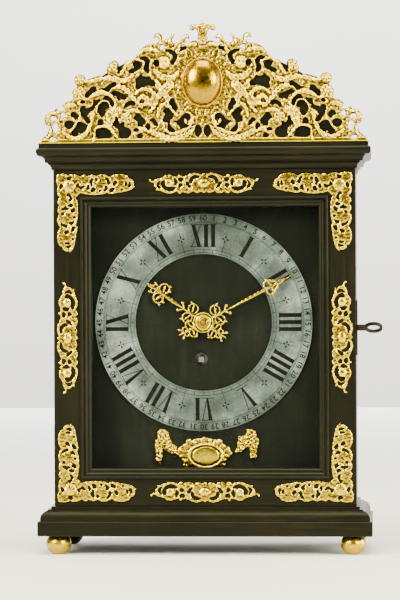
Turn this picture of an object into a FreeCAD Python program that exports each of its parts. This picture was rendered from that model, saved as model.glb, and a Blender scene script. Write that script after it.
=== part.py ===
"""Ebony table clock with gilt mounts: case, glazed door, dial, spring movement and pierced cresting."""
import FreeCAD, Part
import math
import os

V = FreeCAD.Vector
X_AXIS = V(1, 0, 0)
Y_AXIS = V(0, 1, 0)
Z_AXIS = V(0, 0, 1)

# All sizes are millimetres. +Z is up, the front faces -Y, and the origin is the middle of the
# footprint on the plane that the ball feet stand on. Depths are counted back from the door's face.

# Case
CASE_WIDTH = 272.4
CASE_DEPTH = 120.0
BOARD_THICK = 12.0
BACK_THICK = 8.0
MOULDING_PROJECTION = 14.2
BASE_HEIGHT = 26.2
CORNICE_HEIGHT = 22.7
CUT_OVERRUN = 2.0
RUNNING_CLEARANCE = 0.05

# Ball feet
FOOT_HEIGHT = 17.0
FOOT_RADIUS = 11.3
FOOT_FLAT_RADIUS = 4.0
FOOT_NECK_RADIUS = 7.5
FOOT_BELLY_SHARE = 0.47
FOOT_INSET = 3.2
FOOT_SETBACK = 17.0
FOOT_STUD_RADIUS = 2.4
FOOT_STUD_LENGTH = 12.0

# Base and cornice profiles, as shares of the projection and of the height; a step of two is an arc
BASE_PROFILE_SHARES = [
    [(0.92, 0.0)], [(0.98, 0.02), (1.0, 0.08)], [(1.0, 0.44)], [(0.98, 0.49), (0.92, 0.51)],
    [(0.84, 0.51)], [(0.84, 0.55)], [(0.66, 0.80), (0.40, 0.87)], [(0.40, 0.91)],
    [(0.20, 0.91)], [(0.20, 1.0)], [(0.0, 1.0)],
]
CORNICE_PROFILE_SHARES = [
    [(0.12, 0.0)], [(0.16, 0.14), (0.30, 0.22)], [(0.30, 0.28)], [(0.48, 0.28)], [(0.48, 0.34)],
    [(0.60, 0.48), (0.86, 0.54)], [(1.0, 0.69), (0.92, 0.84)], [(0.84, 0.84)], [(0.84, 1.0)], [(0.0, 1.0)],
]

# Door
DOOR_HEIGHT = 302.9
DOOR_THICK = 20.0
DOOR_GAP = 0.4
FRAME_WIDTH = 24.3
SIGHT_MOULDING_WIDTH = 9.5
SIGHT_MOULDING_PROUD = 1.4
GLASS_DEPTH = 11.0
GLASS_THICK = 2.0
GLASS_PLAY = 0.4
BEAD_WIDTH = 4.0
BEAD_DEPTH = 6.0
SIGHT_PROFILE_SHARES = [
    [(0.0, 1.0)], [(0.13, 1.10), (0.26, 1.0)], [(0.26, 0.90)], [(0.34, 0.90)], [(0.44, 0.66), (0.62, 0.58)],
    [(0.62, 0.52)], [(0.70, 0.52)], [(0.90, 0.44), (1.0, 0.24)], [(1.0, 0.0)],
]

# Hinges
HINGE_LENGTH = 30.0
HINGE_TOP_DROP = 51.2
HINGE_BOTTOM_RISE = 56.9
KNUCKLE_RADIUS = 2.2
KNUCKLE_ROOM = 0.3
KNUCKLE_GAP = 0.2
HINGE_PIN_RADIUS = 0.9
PIN_CAP_RADIUS = 1.6
PIN_CAP_HEIGHT = 1.0
LEAF_WIDTH = 11.0
LEAF_THICK = 1.2
HINGE_STANDOFF = 0.4

# Lock, bolt and key
LOCK_WIDTH = 12.0
LOCK_HEIGHT = 38.0
LOCK_DEPTH = 12.0
LOCK_WALL = 1.0
LOCK_FRONT_GAP = 0.6
KEY_RISE = 8.35
KEY_DEPTH = 24.6
KEY_SHANK_RADIUS = 1.9
KEY_COLLAR_RADIUS = 2.9
KEY_COLLAR_LENGTH = 7.4
KEY_TAIL_GAP = 1.2
KEY_BOW_RADIUS = 7.0
KEY_BOW_WIRE = 1.2
KEY_BIT_REACH = 4.2
KEY_BIT_WIDTH = 4.0
KEY_BIT_THICK = 1.6
KEY_TILT = 30.0
KEYHOLE_ROOM = 0.3
KEYHOLE_SLOT_DROP = 6.0
KEYHOLE_SLOT_WIDTH = 2.4
ESCUTCHEON_HEIGHT = 50.0
ESCUTCHEON_WIDTH = 15.0
ESCUTCHEON_THICK = 1.4
BIT_INSET = 4.0
BOLT_REACH = 8.0
BOLT_WIDTH = 3.2
BOLT_HALF = 1.6
BOLT_WALL = 0.6
BOLT_ROOM = 0.4
STRIKE_THICK = 1.0
STRIKE_HEIGHT = 24.0
STRIKE_WIDTH = 8.0

# Dial
DIAL_X = -2.5
DIAL_RISE = 13.45
RING_DEPTH = 28.2
RING_OUTER_RADIUS = 99.0
RING_INNER_RADIUS = 62.3
RING_THICK = 1.8
VELVET_THICK = 0.8
DIAL_THICK = 2.2
DIAL_HALF_WIDTH = 107.0
DIAL_LAP_LOW = 1.9
DIAL_LAP_HIGH = 2.8
VELVET_MARGIN = 0.5
DIAL_BORE = 4.6
WINDING_BORE = 5.9
BATTEN_LAP = 4.0
BATTEN_THICK = 10.0
DIAL_FOOT_RADIUS = 3.0
DIAL_FOOT_X = 36.0
DIAL_FOOT_LOW = 56.0
DIAL_FOOT_HIGH = 62.0
CARTOUCHE_WIDTH = 53.0
CARTOUCHE_HEIGHT = 31.0
CARTOUCHE_DROP = 119.0
CARTOUCHE_THICK = 1.8
CARTOUCHE_BOSS = 1.0
FESTOON_WIDTH = 22.0
FESTOON_HEIGHT = 30.0
FESTOON_X = 35.5
FESTOON_DROP = 112.0

# Hands, at rest near ten past ten
MINUTE_LENGTH = 95.0
HAND_THICK = 1.0
MINUTE_DEPTH = 23.4
HOUR_DEPTH = 26.2
MINUTE_ANGLE = 62.3
HOUR_ANGLE = -55.2
COLLET_RADIUS = 6.2
COLLET_TOP_RADIUS = 3.0
COLLET_HEIGHT = 1.6
CENTRE_END = 0.6
HAND_BOSS_RADIUS = 9.4
CANNON_RADIUS = 2.6
HOUR_PIPE_RADIUS = 3.8
# Hands' ornament in pixels of the photograph, along and across the hand; all but the stems is on both sides
MINUTE_TIP_PX = 104.8
ROOT_LOOPS_PX = [(16.2, 5.4, 5.6, 4.1), (-13.5, 4.4, 4.7, 3.3), (-19.6, 2.4, 3.0, 1.6)]
ROOT_LEAVES_PX = [
    (4.0, 0.0, 32.0, 0.0, 2.6), (14.8, 0.4, 17.6, 9.6, 2.2), (23.6, 0.0, 28.6, 4.4, 2.0),
    (18.6, 9.0, 22.4, 10.6, 1.8),
    (-4.0, 0.0, -29.0, 0.0, 3.0), (-12.6, 0.4, -14.0, 8.2, 2.0), (-20.6, 1.0, -25.2, 4.8, 2.0),
    (-14.6, 8.0, -11.4, 10.2, 1.6),
]
ROOT_BEADS_PX = [(28.4, 4.3, 1.6), (-25.0, 4.6, 1.3)]
MINUTE_LOOPS_PX = [(74.0, 3.5, 4.1, 2.6)]
MINUTE_LEAVES_PX = [
    (22.0, 0.0, 104.8, 0.0, 3.2), (86.6, 0.2, 74.6, 8.8, 2.8), (79.6, 0.0, 75.0, 5.6, 1.8),
    (81.0, 0.0, 93.0, 0.0, 4.4),
]
MINUTE_BEADS_PX = [(75.0, 8.3, 1.2)]
HOUR_LOOPS_PX = [(51.5, 5.5, 5.8, 4.2), (59.8, 2.3, 3.0, 1.6)]
HOUR_LEAVES_PX = [
    (24.0, 0.0, 52.0, 0.0, 4.0), (42.0, 0.0, 69.1, 0.0, 2.6), (50.0, 0.4, 52.8, 9.6, 2.4),
    (49.8, 9.4, 45.4, 11.8, 1.8),
    (49.4, 2.4, 44.6, 6.6, 1.8), (60.6, 0.0, 69.1, 0.0, 3.8), (59.4, 3.8, 64.0, 6.2, 2.0),
]
HOUR_BEADS_PX = [(45.0, 6.4, 1.2)]

# Movement plates
MOTION_GAP = 16.0
PLATE_THICK = 2.5
PLATE_GAP = 34.0
PLATE_HALF_WIDTH = 44.0
PLATE_LOW = 70.5
PLATE_HIGH = 82.0
PILLAR_RADIUS = 3.6
PILLAR_WAIST = 2.2
PILLAR_COLLAR = 3.0
PILLAR_INSET = 7.0
PIVOT_RADIUS = 0.9
ARBOR_RADIUS = 1.5
ARBOR_ENDSHAKE = 0.3
MINUTE_STUD_RADIUS = 1.3
STUD_END = 0.5

# Wheelwork: leaves, teeth and places from the hands' centre
PINION_LEAVES = 6
GREAT_TEETH = 48
CENTRE_TEETH = 36
THIRD_TEETH = 36
CONTRATE_TEETH = 30
CROWN_TEETH = 25
CANNON_TEETH = 12
MINUTE_WHEEL_TEETH = 36
MINUTE_PINION_LEAVES = 9
HOUR_TEETH = 36
BARREL_X = -2.4
BARREL_DROP = 33.6
THIRD_DISTANCE = 21.0
THIRD_ANGLE = 35.5
CONTRATE_DISTANCE = 19.25
MINUTE_WHEEL_DISTANCE = 20.0
MINUTE_WHEEL_ANGLE = -60.0
WHEEL_THICK = 1.5
PINION_LENGTH = 4.0
WHEEL_ADDENDUM_SHARE = 0.8
WHEEL_DEDENDUM_SHARE = 0.9
WHEEL_ROOT_SHARE = 0.25
WHEEL_TIP_SHARE = 0.06
PINION_ADDENDUM_SHARE = 0.4
PINION_DEDENDUM_SHARE = 1.15
PINION_ROOT_SHARE = 0.15
PINION_TIP_SHARE = 0.07
MOTION_ADDENDUM_SHARE = 0.75
MOTION_DEDENDUM_SHARE = 0.95
MOTION_ROOT_SHARE = 0.25
MOTION_TIP_SHARE = 0.07
SPOKE_WIDTH = 3.2
RIM_WIDTH = 2.6
HUB_RADIUS = 4.6
CANNON_AHEAD = 7.5
CANNON_LENGTH = 3.0
MINUTE_WHEEL_AHEAD = 6.8
MINUTE_PINION_AHEAD = 13.6
HOUR_WHEEL_AHEAD = 12.8

# Barrel, spring and winding work
GREAT_WHEEL_FROM = 3.0
GREAT_WHEEL_THICK = 2.5
DRUM_RADIUS = 25.0
DRUM_LENGTH = 20.0
DRUM_WALL = 1.5
BARREL_ARBOR_RADIUS = 4.5
SPRING_THICK = 0.6
SPRING_TURNS = 6
SPRING_START_RADIUS = 5.0
SPRING_MARGIN = 1.5
WINDING_ARBOR_RADIUS = 3.4
WINDING_SQUARE = 4.6
WINDING_SQUARE_DEPTH = 31.6
RATCHET_TEETH = 20
RATCHET_RADIUS = 10.0
RATCHET_TOOTH = 1.6
RATCHET_RAKE_SHARE = 0.85
RATCHET_THICK = 2.0
RATCHET_STANDOFF = 0.8
CLICK_PIVOT_X = 14.0
CLICK_PIVOT_Z = 6.0
CLICK_TIP_ANGLE = 20.0
CLICK_WIDTH = 2.4
CLICK_WALL = 1.5
CLICK_ROOM = 0.9
CLICK_STUD_RADIUS = 1.3
CLICK_FOOT = 4.0
CLICK_SPRING_LIFT = 2.8
CLICK_SPRING_WIDTH = 0.7
CLICK_SPRING_LENGTH = 16.0

# Layers between the plates, from the front plate's inner face
CENTRE_PINION_FROM = 2.2
CENTRE_WHEEL_FROM = 27.5
THIRD_PINION_FROM = 26.3
THIRD_WHEEL_FROM = 8.0
CONTRATE_PINION_FROM = 6.8
CONTRATE_WEB_FROM = 22.0
CROWN_AXIS_FROM = 15.4

# Contrate, crown wheel, verge and pendulum
CONTRATE_RADIUS = 16.0
CONTRATE_RIM = 2.0
CONTRATE_TOOTH = 2.4
CONTRATE_RIM_DEPTH = 1.6
CONTRATE_TIP_SHARE = 0.09
CONTRATE_ROOT_SHARE = 0.22
CROWN_PINION_RADIUS = 3.0
CROWN_PINION_LENGTH = 7.0
CROWN_RADIUS = 12.0
CROWN_RIM = 1.6
CROWN_CUP = 6.0
CROWN_TOOTH = 3.6
CROWN_WEB = 1.6
CROWN_ARBOR_RADIUS = 1.1
POTENCE_ARM = 2.6
POTENCE_WIDTH = 8.0
POTENCE_GAP = 0.4
POTENCE_FOOT = 3.0
POTENCE_REACH = 3.2
VERGE_RADIUS = 1.2
VERGE_RISE = 5.0
PALLET_REACH = 5.0
PALLET_WIDTH = 5.0
PALLET_THICK = 0.8
PALLET_ANGLE = 47.5
VERGE_HOLE_ROOM = 0.8
CRUTCH_DEPTH = 2.2
CRUTCH_THICK = 1.4
CRUTCH_WIDTH = 3.0
CRUTCH_LENGTH = 42.0
CRUTCH_HUB_RADIUS = 3.6
CRUTCH_PRONG = 1.4
CRUTCH_SLOT = 1.4
COCK_DEPTH = 17.0
COCK_WIDTH = 14.0
COCK_THICK = 3.0
COCK_RISE = 8.0
COCK_FOOT_DROP = 5.0
COCK_FOOT_THICK = 2.0
COCK_TAB_DEPTH = 5.0
COCK_TAB_THICK = 1.8
COCK_TAB_DROP = 12.0
COCK_TAB_HALF = 4.0
CHEEK_WIDTH = 4.6
CHEEK_DROP = 6.0
CHEEK_DEPTH = 4.0
CHEEK_FLARE = 2.2
CHEEK_BELLY_SHARE = 0.25
CLAMP_HALF_WIDTH = 0.7
THREAD_THICK = 0.6
THREAD_WIDTH = 3.0
THREAD_LENGTH = 15.0
THREAD_TOP_GAP = 0.4
PENDULUM_DEPTH = 12.0
PENDULUM_LENGTH = 159.0
ROD_RADIUS = 1.0
ROD_TAIL = 26.0
ROD_HOOK_RADIUS = 2.2
ROD_HOOK_LENGTH = 5.0
BOB_RADIUS = 17.0
BOB_THICK = 12.0
NUT_RADIUS = 3.4
NUT_HEIGHT = 3.0

# Door mounts. Each outline and piercing is a share of the mount's length and width
MOUNT_THICK = 1.2
MOUNT_MARGIN = 2.6
CORNER_ARM_LENGTH = 72.0
MOUNT_WIDTH = 19.6
RAIL_MOUNT_LENGTH = 99.0
STILE_MOUNT_LENGTH = 101.0
# Outlines and piercings are pixels of the photograph: along and across from the mount's corner or middle
CORNER_ARM_PX = 80.0
CORNER_START_PX = (0.8, 0.8)
CORNER_EDGE_PX = [
    [(4.5, -0.2), (8.3, -0.3), (12.9, 1.7)], [(18.1, 0.5), (22.1, 1.4), (24.4, 3.2)],
    [(29.0, 1.1), (31.9, 2.6)],
    [(36.5, 1.0), (41.0, 2.6)], [(46.8, 0.6), (52.0, 2.0), (54.5, 3.4)],
    [(58.8, 1.1), (66.9, 0.6), (72.6, 2.9), (74.3, 5.7)], [(77.2, 6.9), (78.6, 10.0), (78.4, 12.9)],
    [(80.0, 13.2)],
    [(75.5, 17.5), (69.7, 19.2), (64.0, 20.1)], [(60.0, 20.9), (54.2, 21.5), (51.7, 20.3)],
    [(45.6, 22.0), (38.2, 22.5), (29.5, 21.8), (24.6, 20.3)], [(22.4, 22.4)],
]
CORNER_PIERCINGS_PX = [
    [(10.7, 4.9), (12.9, 3.7), (15.1, 3.4), (15.4, 4.6), (13.2, 6.3), (11.5, 5.9)],
    [(20.8, 11.4), (22.2, 10.6), (23.2, 12.9), (25.0, 13.8), (28.1, 12.6), (27.8, 14.6), (25.0, 15.8),
    (22.1, 14.1)],
    [(32.4, 12.1), (33.8, 14.3), (32.4, 16.6), (31.0, 16.1), (31.3, 13.8)],
    [(36.5, 5.7), (37.4, 6.9), (36.4, 9.2), (36.5, 12.3), (35.4, 13.0), (34.7, 10.6), (33.5, 9.6),
    (34.7, 7.5)],
    [(39.3, 7.2), (40.5, 5.2), (41.9, 6.6), (40.8, 7.9)],
    [(37.6, 14.8), (39.3, 16.6), (36.7, 18.8), (35.1, 18.4), (35.9, 16.4)],
    [(43.4, 18.1), (44.4, 17.0), (45.4, 18.1), (44.4, 19.2)],
    [(49.9, 13.2), (51.5, 14.6), (50.5, 17.2), (48.2, 18.1), (49.1, 15.6)],
    [(49.8, 4.4), (51.7, 4.9), (53.4, 7.5), (54.1, 10.7), (52.8, 11.2), (51.7, 8.8), (50.6, 6.3)],
    [(60.0, 8.2), (61.0, 9.1), (59.3, 12.2), (57.7, 12.6), (58.0, 10.3)],
    [(54.2, 16.9), (56.5, 15.5), (58.6, 15.5), (57.4, 18.1), (55.1, 18.9), (53.6, 18.4)],
    [(65.2, 16.8), (66.2, 15.8), (67.2, 16.8), (66.2, 17.8)],
    [(70.4, 8.8), (71.5, 10.6), (70.9, 13.0), (69.6, 13.1), (69.7, 10.6)],
    [(74.1, 9.2), (74.9, 11.2), (73.7, 14.5), (72.3, 14.0), (73.1, 11.2)],
]
BAND_HALF_PX = 57.5
BAND_WIDTH_PX = 22.4
BAND_START_PX = (0.0, 11.2)
BAND_EDGE_PX = [
    [(2.9, 9.5)], [(7.9, 11.2), (13.7, 10.4), (19.5, 7.8), (23.4, 7.5)], [(25.5, 9.7), (27.4, 7.5)],
    [(30.3, 7.7), (36.1, 9.5), (41.0, 8.3), (44.4, 6.2), (48.9, 5.2), (52.9, 2.9)],
    [(54.6, 3.3), (55.6, 4.8), (57.0, 4.9), (57.5, 3.4), (55.2, 1.2), (52.7, 0.6)],
    [(52.5, -2.1), (49.6, -5.0)], [(50.8, -7.2)],
    [(46.9, -7.7), (40.2, -10.2), (33.6, -10.8), (28.6, -8.5)],
    [(25.3, -11.2), (22.0, -9.1)], [(15.3, -10.8), (11.2, -8.7)], [(7.0, -10.4), (2.9, -9.1)],
    [(0.0, -11.2)],
]
BAND_PIERCINGS_PX = [
    [(45.9, -4.8), (48.9, -2.9), (49.1, -0.6), (45.4, 2.7), (46.4, -0.8)],
    [(43.5, 2.3), (41.2, 2.4), (40.6, -2.1), (37.3, -4.1), (33.6, -4.1), (29.2, -4.4), (32.8, -7.3),
    (39.4, -6.8),
     (43.3, -3.7)],
    [(30.3, -2.1), (30.9, 1.7), (30.7, 5.2), (28.4, 3.3), (28.1, -0.4)],
    [(26.1, -3.2), (26.1, -0.8), (23.2, -0.4), (22.6, -2.1)],
    [(26.0, 2.7), (26.5, 5.0), (24.5, 5.8), (21.2, 4.4)],
    [(13.0, -5.0), (16.2, -3.1), (18.4, 1.0), (16.8, 1.3), (14.1, -2.1)],
    [(14.1, -0.2), (15.1, 2.5), (12.9, 6.2), (8.7, 8.1), (4.4, 6.8), (8.7, 5.2), (11.6, 3.1)],
]

# Cresting. Places are pixels of the photograph, read on its left half; the right half is the mirror image
CREST_MIDDLE_PX = 204.6
CREST_FOOT_PX = 143.5
CREST_END_PX = 37.6
CREST_HALF_WIDTH = 149.0
CREST_RISE = 99.0
CREST_RISE_PX = 110.0
CREST_THICK = 3.0
CREST_BOARD_THICK = 8.0
CREST_SETBACK = 0.2
# The outline from the foot's end up to the middle: runs that meet at points, each smooth between its ends
CREST_EDGE_PX = [
    [(39.4, 140.8), (43.5, 136.5), (46.8, 134.0), (49.0, 128.6), (51.0, 124.6)],
    [(46.8, 124.5), (44.6, 121.1), (45.0, 116.2), (48.3, 112.0), (54.5, 110.8)],
    [(56.5, 106.6)],
    [(59.0, 109.6), (65.6, 109.1)],
    [(62.7, 105.0)],
    [(66.5, 101.7), (72.3, 100.0)],
    [(73.9, 96.7), (72.7, 92.1), (76.4, 87.1), (78.1, 85.5)],
    [(75.2, 81.3), (75.2, 77.2), (79.7, 73.9), (84.7, 75.5), (86.4, 79.7)],
    [(89.3, 78.4), (96.3, 76.4), (100.4, 75.1), (104.6, 76.4)],
    [(108.7, 73.5)],
    [(107.9, 69.7), (110.0, 64.8)],
    [(109.2, 62.3)],
    [(112.9, 61.0), (116.6, 60.2), (119.5, 62.5), (120.0, 67.0), (118.7, 73.0)],
    [(121.8, 69.5), (124.5, 64.5), (129.5, 60.2)],
    [(137.4, 55.6), (144.8, 47.3), (151.5, 44.4), (158.1, 43.6)],
    [(160.4, 40.6), (159.4, 38.2), (155.6, 39.0)],
    [(155.6, 36.1), (158.9, 33.4), (163.1, 34.9), (164.3, 39.0), (163.9, 42.0)],
    [(167.4, 39.4), (171.4, 39.0)],
    [(173.4, 35.3), (175.9, 33.7)],
    [(176.3, 36.1), (174.2, 39.6), (174.4, 42.2), (178.8, 43.0)],
    [(183.0, 39.9), (184.6, 36.6), (188.8, 34.5), (191.3, 37.0), (190.8, 39.9)],
    [(188.2, 39.0), (187.4, 41.4), (189.6, 43.6)],
    [(193.7, 41.9), (198.5, 41.4), (200.4, 44.3), (204.6, 45.4)],
]
# The piercings: points round each opening, joined by a smooth closed line
CREST_PIERCINGS_PX = [
    [(86.4, 94.6), (89.7, 90.0), (95.5, 86.7), (96.7, 89.2), (92.2, 93.4), (87.2, 96.7)],
    [(103.3, 88.7), (108.0, 86.8), (111.8, 83.9), (116.2, 83.4), (116.8, 85.4), (112.6, 87.6),
    (110.2, 90.8),
     (106.6, 90.2)],
    [(104.2, 98.3), (108.3, 96.3), (112.9, 99.6), (114.9, 104.6), (113.3, 106.2), (111.2, 102.6),
    (107.4, 99.6)],
    [(103.8, 101.9), (109.6, 104.4), (110.0, 106.2), (106.7, 108.7), (105.0, 113.7), (103.3, 116.6),
    (100.0, 112.9),
     (98.8, 109.5), (100.6, 104.8)],
    [(100.8, 99.2), (98.6, 102.2), (95.6, 105.8), (93.0, 110.2), (89.3, 112.0), (87.6, 115.3),
    (90.9, 122.0),
     (89.3, 122.8), (85.0, 118.6), (81.8, 112.4), (81.5, 107.0), (84.7, 105.8), (86.4, 107.9),
     (91.3, 107.0),
     (94.2, 104.1), (95.1, 99.6), (98.0, 100.0)],
    [(81.6, 101.5), (83.5, 100.2), (85.2, 101.3), (83.5, 102.9)],
    [(71.4, 114.1), (74.7, 111.6), (78.1, 115.7), (75.6, 119.0), (73.9, 116.4)],
    [(65.2, 122.8), (68.9, 120.3), (74.0, 122.4), (73.4, 125.3), (67.7, 127.8)],
    [(81.0, 122.0), (87.2, 126.4), (83.9, 131.1), (78.1, 132.7), (76.4, 135.2), (72.3, 133.6),
    (74.9, 129.2),
     (77.4, 124.5)],
    [(98.0, 129.6), (102.5, 128.4), (107.1, 128.6), (110.4, 131.9), (112.4, 136.2), (105.0, 137.2),
    (98.4, 136.8)],
    [(98.8, 122.4), (103.2, 119.6), (104.2, 121.5), (100.9, 124.5)],
    [(53.6, 123.2), (56.5, 122.0), (58.6, 126.1), (57.3, 131.1), (55.2, 132.0), (53.0, 128.6)],
    [(50.6, 117.0), (54.9, 115.7), (57.3, 118.4), (54.0, 120.0)],
    [(61.1, 114.5), (64.0, 112.0), (65.4, 113.7), (62.7, 117.6)],
    [(49.8, 138.0), (53.0, 136.6), (56.5, 138.6), (52.0, 139.8)],
    [(117.9, 117.4), (119.1, 120.7), (121.0, 123.4), (124.1, 122.8), (125.3, 126.1), (129.9, 128.6),
    (132.0, 131.9),
     (129.8, 136.3), (121.2, 137.0), (120.0, 133.6), (119.1, 128.6), (114.6, 124.5), (116.6, 120.3)],
    [(113.3, 91.9), (115.8, 90.9), (122.4, 93.4), (127.8, 96.7), (127.0, 98.7), (121.6, 99.2),
    (120.2, 100.2),
     (118.3, 96.7)],
    [(125.3, 107.9), (126.6, 104.1), (130.3, 101.4), (134.5, 102.1), (136.1, 105.0), (132.4, 105.0),
    (128.7, 106.2)],
    [(134.9, 62.9), (139.0, 61.8), (142.3, 63.9), (141.5, 67.7), (136.5, 71.4), (133.6, 73.0),
    (130.3, 72.2),
     (132.4, 69.3), (135.7, 67.2)],
    [(142.3, 58.1), (146.5, 56.9), (150.2, 59.4), (150.6, 64.8), (150.2, 68.4), (150.9, 70.9),
    (149.5, 73.0),
     (147.7, 71.6), (145.6, 68.4), (147.0, 64.8), (146.5, 61.0)],
    [(143.2, 75.2), (147.3, 77.2), (150.6, 77.4), (153.1, 80.1), (156.6, 82.8), (155.6, 86.1),
    (151.5, 85.5),
     (144.8, 86.3), (137.2, 88.2), (137.8, 83.8), (136.9, 79.5), (140.3, 76.8)],
    [(167.6, 50.3), (173.0, 50.7), (177.6, 54.0), (179.0, 57.3), (176.3, 62.3), (174.0, 65.2),
    (173.4, 61.4),
     (174.7, 58.1), (172.6, 53.8)],
    [(156.8, 61.0), (159.3, 60.8), (160.4, 64.8), (158.5, 66.6)],
    [(183.0, 46.9), (187.1, 46.5), (188.2, 49.0), (184.6, 50.4), (181.5, 52.1), (183.2, 49.4)],
    [(161.6, 48.8), (164.7, 45.5), (166.8, 46.9), (163.1, 50.0)],
    [(171.8, 102.1), (174.9, 98.9), (176.7, 102.9), (178.6, 107.0), (177.8, 110.6), (175.3, 109.3),
    (173.8, 105.0)],
    [(165.3, 110.3), (168.9, 108.7), (172.6, 111.8), (174.5, 116.2), (172.2, 120.3), (171.8, 126.1),
    (176.1, 131.3),
     (173.0, 132.1), (169.7, 128.6), (168.9, 122.6), (165.3, 121.4), (165.6, 117.0), (167.0, 113.0)],
    [(176.5, 121.1), (180.5, 120.3), (183.0, 117.4), (187.9, 113.9), (191.5, 116.2), (191.3, 118.9),
    (186.3, 118.6),
     (185.0, 122.0), (187.1, 125.1), (190.4, 126.5), (187.1, 127.6), (182.1, 127.6), (179.7, 124.5)],
    [(197.1, 131.0), (200.2, 125.6), (203.2, 131.0), (200.2, 136.4)],
    [(135.7, 116.6), (140.3, 114.3), (143.2, 117.0), (146.7, 122.0), (145.5, 124.0), (139.2, 125.5),
    (138.6, 121.1)],
    [(151.9, 119.9), (155.2, 118.7), (157.7, 122.0), (158.9, 125.8), (156.4, 124.9), (153.9, 122.2)],
    [(147.3, 125.1), (149.8, 123.8), (151.2, 127.0), (150.2, 129.4), (148.1, 127.8)],
    [(134.9, 130.3), (136.9, 128.4), (139.9, 129.8), (136.5, 131.3)],
    [(138.6, 135.4), (141.5, 134.4), (144.2, 136.1), (139.4, 137.3)],
]
# The black board behind: its edge from the foot up to the middle
CREST_BOARD_EDGE_PX = [
    [(61.6, 129.5), (76.0, 105.0), (92.0, 84.5), (111.0, 70.5), (130.0, 61.0), (146.0, 53.5), (164.6, 50.4),
     (182.0, 46.8), (192.0, 46.0)],
    [(204.6, 46.0)],
]
CREST_BOARD_END_PX = 58.6
BOSS_Z_PX = 60.5
BOSS_HALF_WIDTH = 16.6
BOSS_HALF_HEIGHT = 20.4
BOSS_HEIGHT = 9.0
BOSS_RIM_WIDTH = 1.8
BOSS_RIM_HEIGHT = 2.0
FINIAL_FOOT_PX = 45.4
# The finial's left edge from the foot to the tip: a bell with two volutes and a spike
FINIAL_EDGE_PX = [
    [(201.0, 44.7), (199.7, 41.5), (200.0, 35.7), (199.2, 31.2), (197.4, 29.4), (195.2, 30.6),
    (192.6, 30.6)],
    [(191.6, 27.6), (193.2, 25.2), (197.9, 25.2), (201.2, 24.9), (203.2, 24.5)],
    [(203.6, 22.4), (204.6, 20.8)],
]
FINIAL_THICK = 4.0
FINIAL_TENON_HALF = 2.5
FINIAL_TENON_THICK = 3.0
FINIAL_TENON_RISE = 6.0

# Worked-out places
CASE_HALF = CASE_WIDTH / 2
BASE_Z = FOOT_HEIGHT
CARCASS_Z = BASE_Z + BASE_HEIGHT
DOOR_Z = CARCASS_Z + DOOR_GAP
DOOR_TOP_Z = DOOR_Z + DOOR_HEIGHT
CORNICE_Z = DOOR_TOP_Z + DOOR_GAP
TOP_Z = CORNICE_Z + CORNICE_HEIGHT
FRONT_Y = (MOULDING_PROJECTION - CASE_DEPTH) / 2
BACK_Y = FRONT_Y + CASE_DEPTH
CARCASS_DEPTH = DOOR_THICK + HINGE_STANDOFF
SIDE_INNER = CASE_HALF - BOARD_THICK
FRAME_INNER = CASE_HALF - FRAME_WIDTH
FRAME_LOW_Z = DOOR_Z + FRAME_WIDTH
FRAME_HIGH_Z = DOOR_TOP_Z - FRAME_WIDTH
DOOR_CENTRE_Z = DOOR_Z + DOOR_HEIGHT / 2
DIAL_Z = DOOR_CENTRE_Z + DIAL_RISE
DIAL_BOTTOM_Z = FRAME_LOW_Z - DIAL_LAP_LOW
DIAL_TOP_Z = FRAME_HIGH_Z + DIAL_LAP_HIGH
KEY_Z = DOOR_CENTRE_Z + KEY_RISE
HINGE_TOP_Z = DOOR_TOP_Z - HINGE_TOP_DROP
HINGE_BOTTOM_Z = DOOR_Z + HINGE_BOTTOM_RISE
VELVET_DEPTH = RING_DEPTH + RING_THICK
DIAL_DEPTH = VELVET_DEPTH + VELVET_THICK
DIAL_BACK = DIAL_DEPTH + DIAL_THICK
FRONT_PLATE_DEPTH = DIAL_BACK + MOTION_GAP
MOVEMENT_DEPTH = FRONT_PLATE_DEPTH + PLATE_THICK
BACK_PLATE_DEPTH = MOVEMENT_DEPTH + PLATE_GAP
BACK_PLATE_BACK = BACK_PLATE_DEPTH + PLATE_THICK
HINGE_X = -CASE_HALF - HINGE_STANDOFF
HINGE_DEPTH = DOOR_THICK + HINGE_STANDOFF / 2
CENTRE = (DIAL_X, DIAL_Z)
BARREL = (DIAL_X + BARREL_X, DIAL_Z - BARREL_DROP)
THIRD = (
    DIAL_X + THIRD_DISTANCE * math.sin(math.radians(THIRD_ANGLE)),
    DIAL_Z + THIRD_DISTANCE * math.cos(math.radians(THIRD_ANGLE)),
)
CONTRATE = (DIAL_X, THIRD[1] + math.sqrt(CONTRATE_DISTANCE ** 2 - (THIRD[0] - DIAL_X) ** 2))
MINUTE_STUD = (
    DIAL_X + MINUTE_WHEEL_DISTANCE * math.sin(math.radians(MINUTE_WHEEL_ANGLE)),
    DIAL_Z + MINUTE_WHEEL_DISTANCE * math.cos(math.radians(MINUTE_WHEEL_ANGLE)),
)
# The cartouche is a bare oval shield in a scrolled frame; shares of its half width and half height
CARTOUCHE_LOBE_SHARES = [
    (-0.80, 0.20, 0.20), (0.80, 0.20, 0.20), (-0.62, -0.62, 0.22), (0.62, -0.62, 0.22),
    (-0.52, 0.66, 0.20), (0.52, 0.66, 0.20), (0.0, 0.80, 0.16),
]
FESTOON_LENS_SHARES = [
    (-0.2, 1.0, 0.3, 0.2, 0.62), (0.5, 0.8, -0.6, 0.3, 0.50), (0.2, 0.4, -0.1, -0.5, 0.75),
    (-0.7, 0.1, 0.2, -0.2, 0.50), (0.5, 0.1, -0.3, -0.9, 0.55), (-0.5, -0.4, 0.1, -1.0, 0.45),
]
SHIELD_REACH_SHARE = 0.78
FRAME_REACH_SHARE = 1.0
OVAL_SHARE = 0.92
CROWN_TOOTH_SHARES = [(-0.40, 0.0), (0.40, 0.0), (0.40, 0.6), (0.34, 1.0), (0.24, 1.0)]


def back(depth):
    """The Y of a depth behind the door's face."""
    return FRONT_Y + depth


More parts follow.
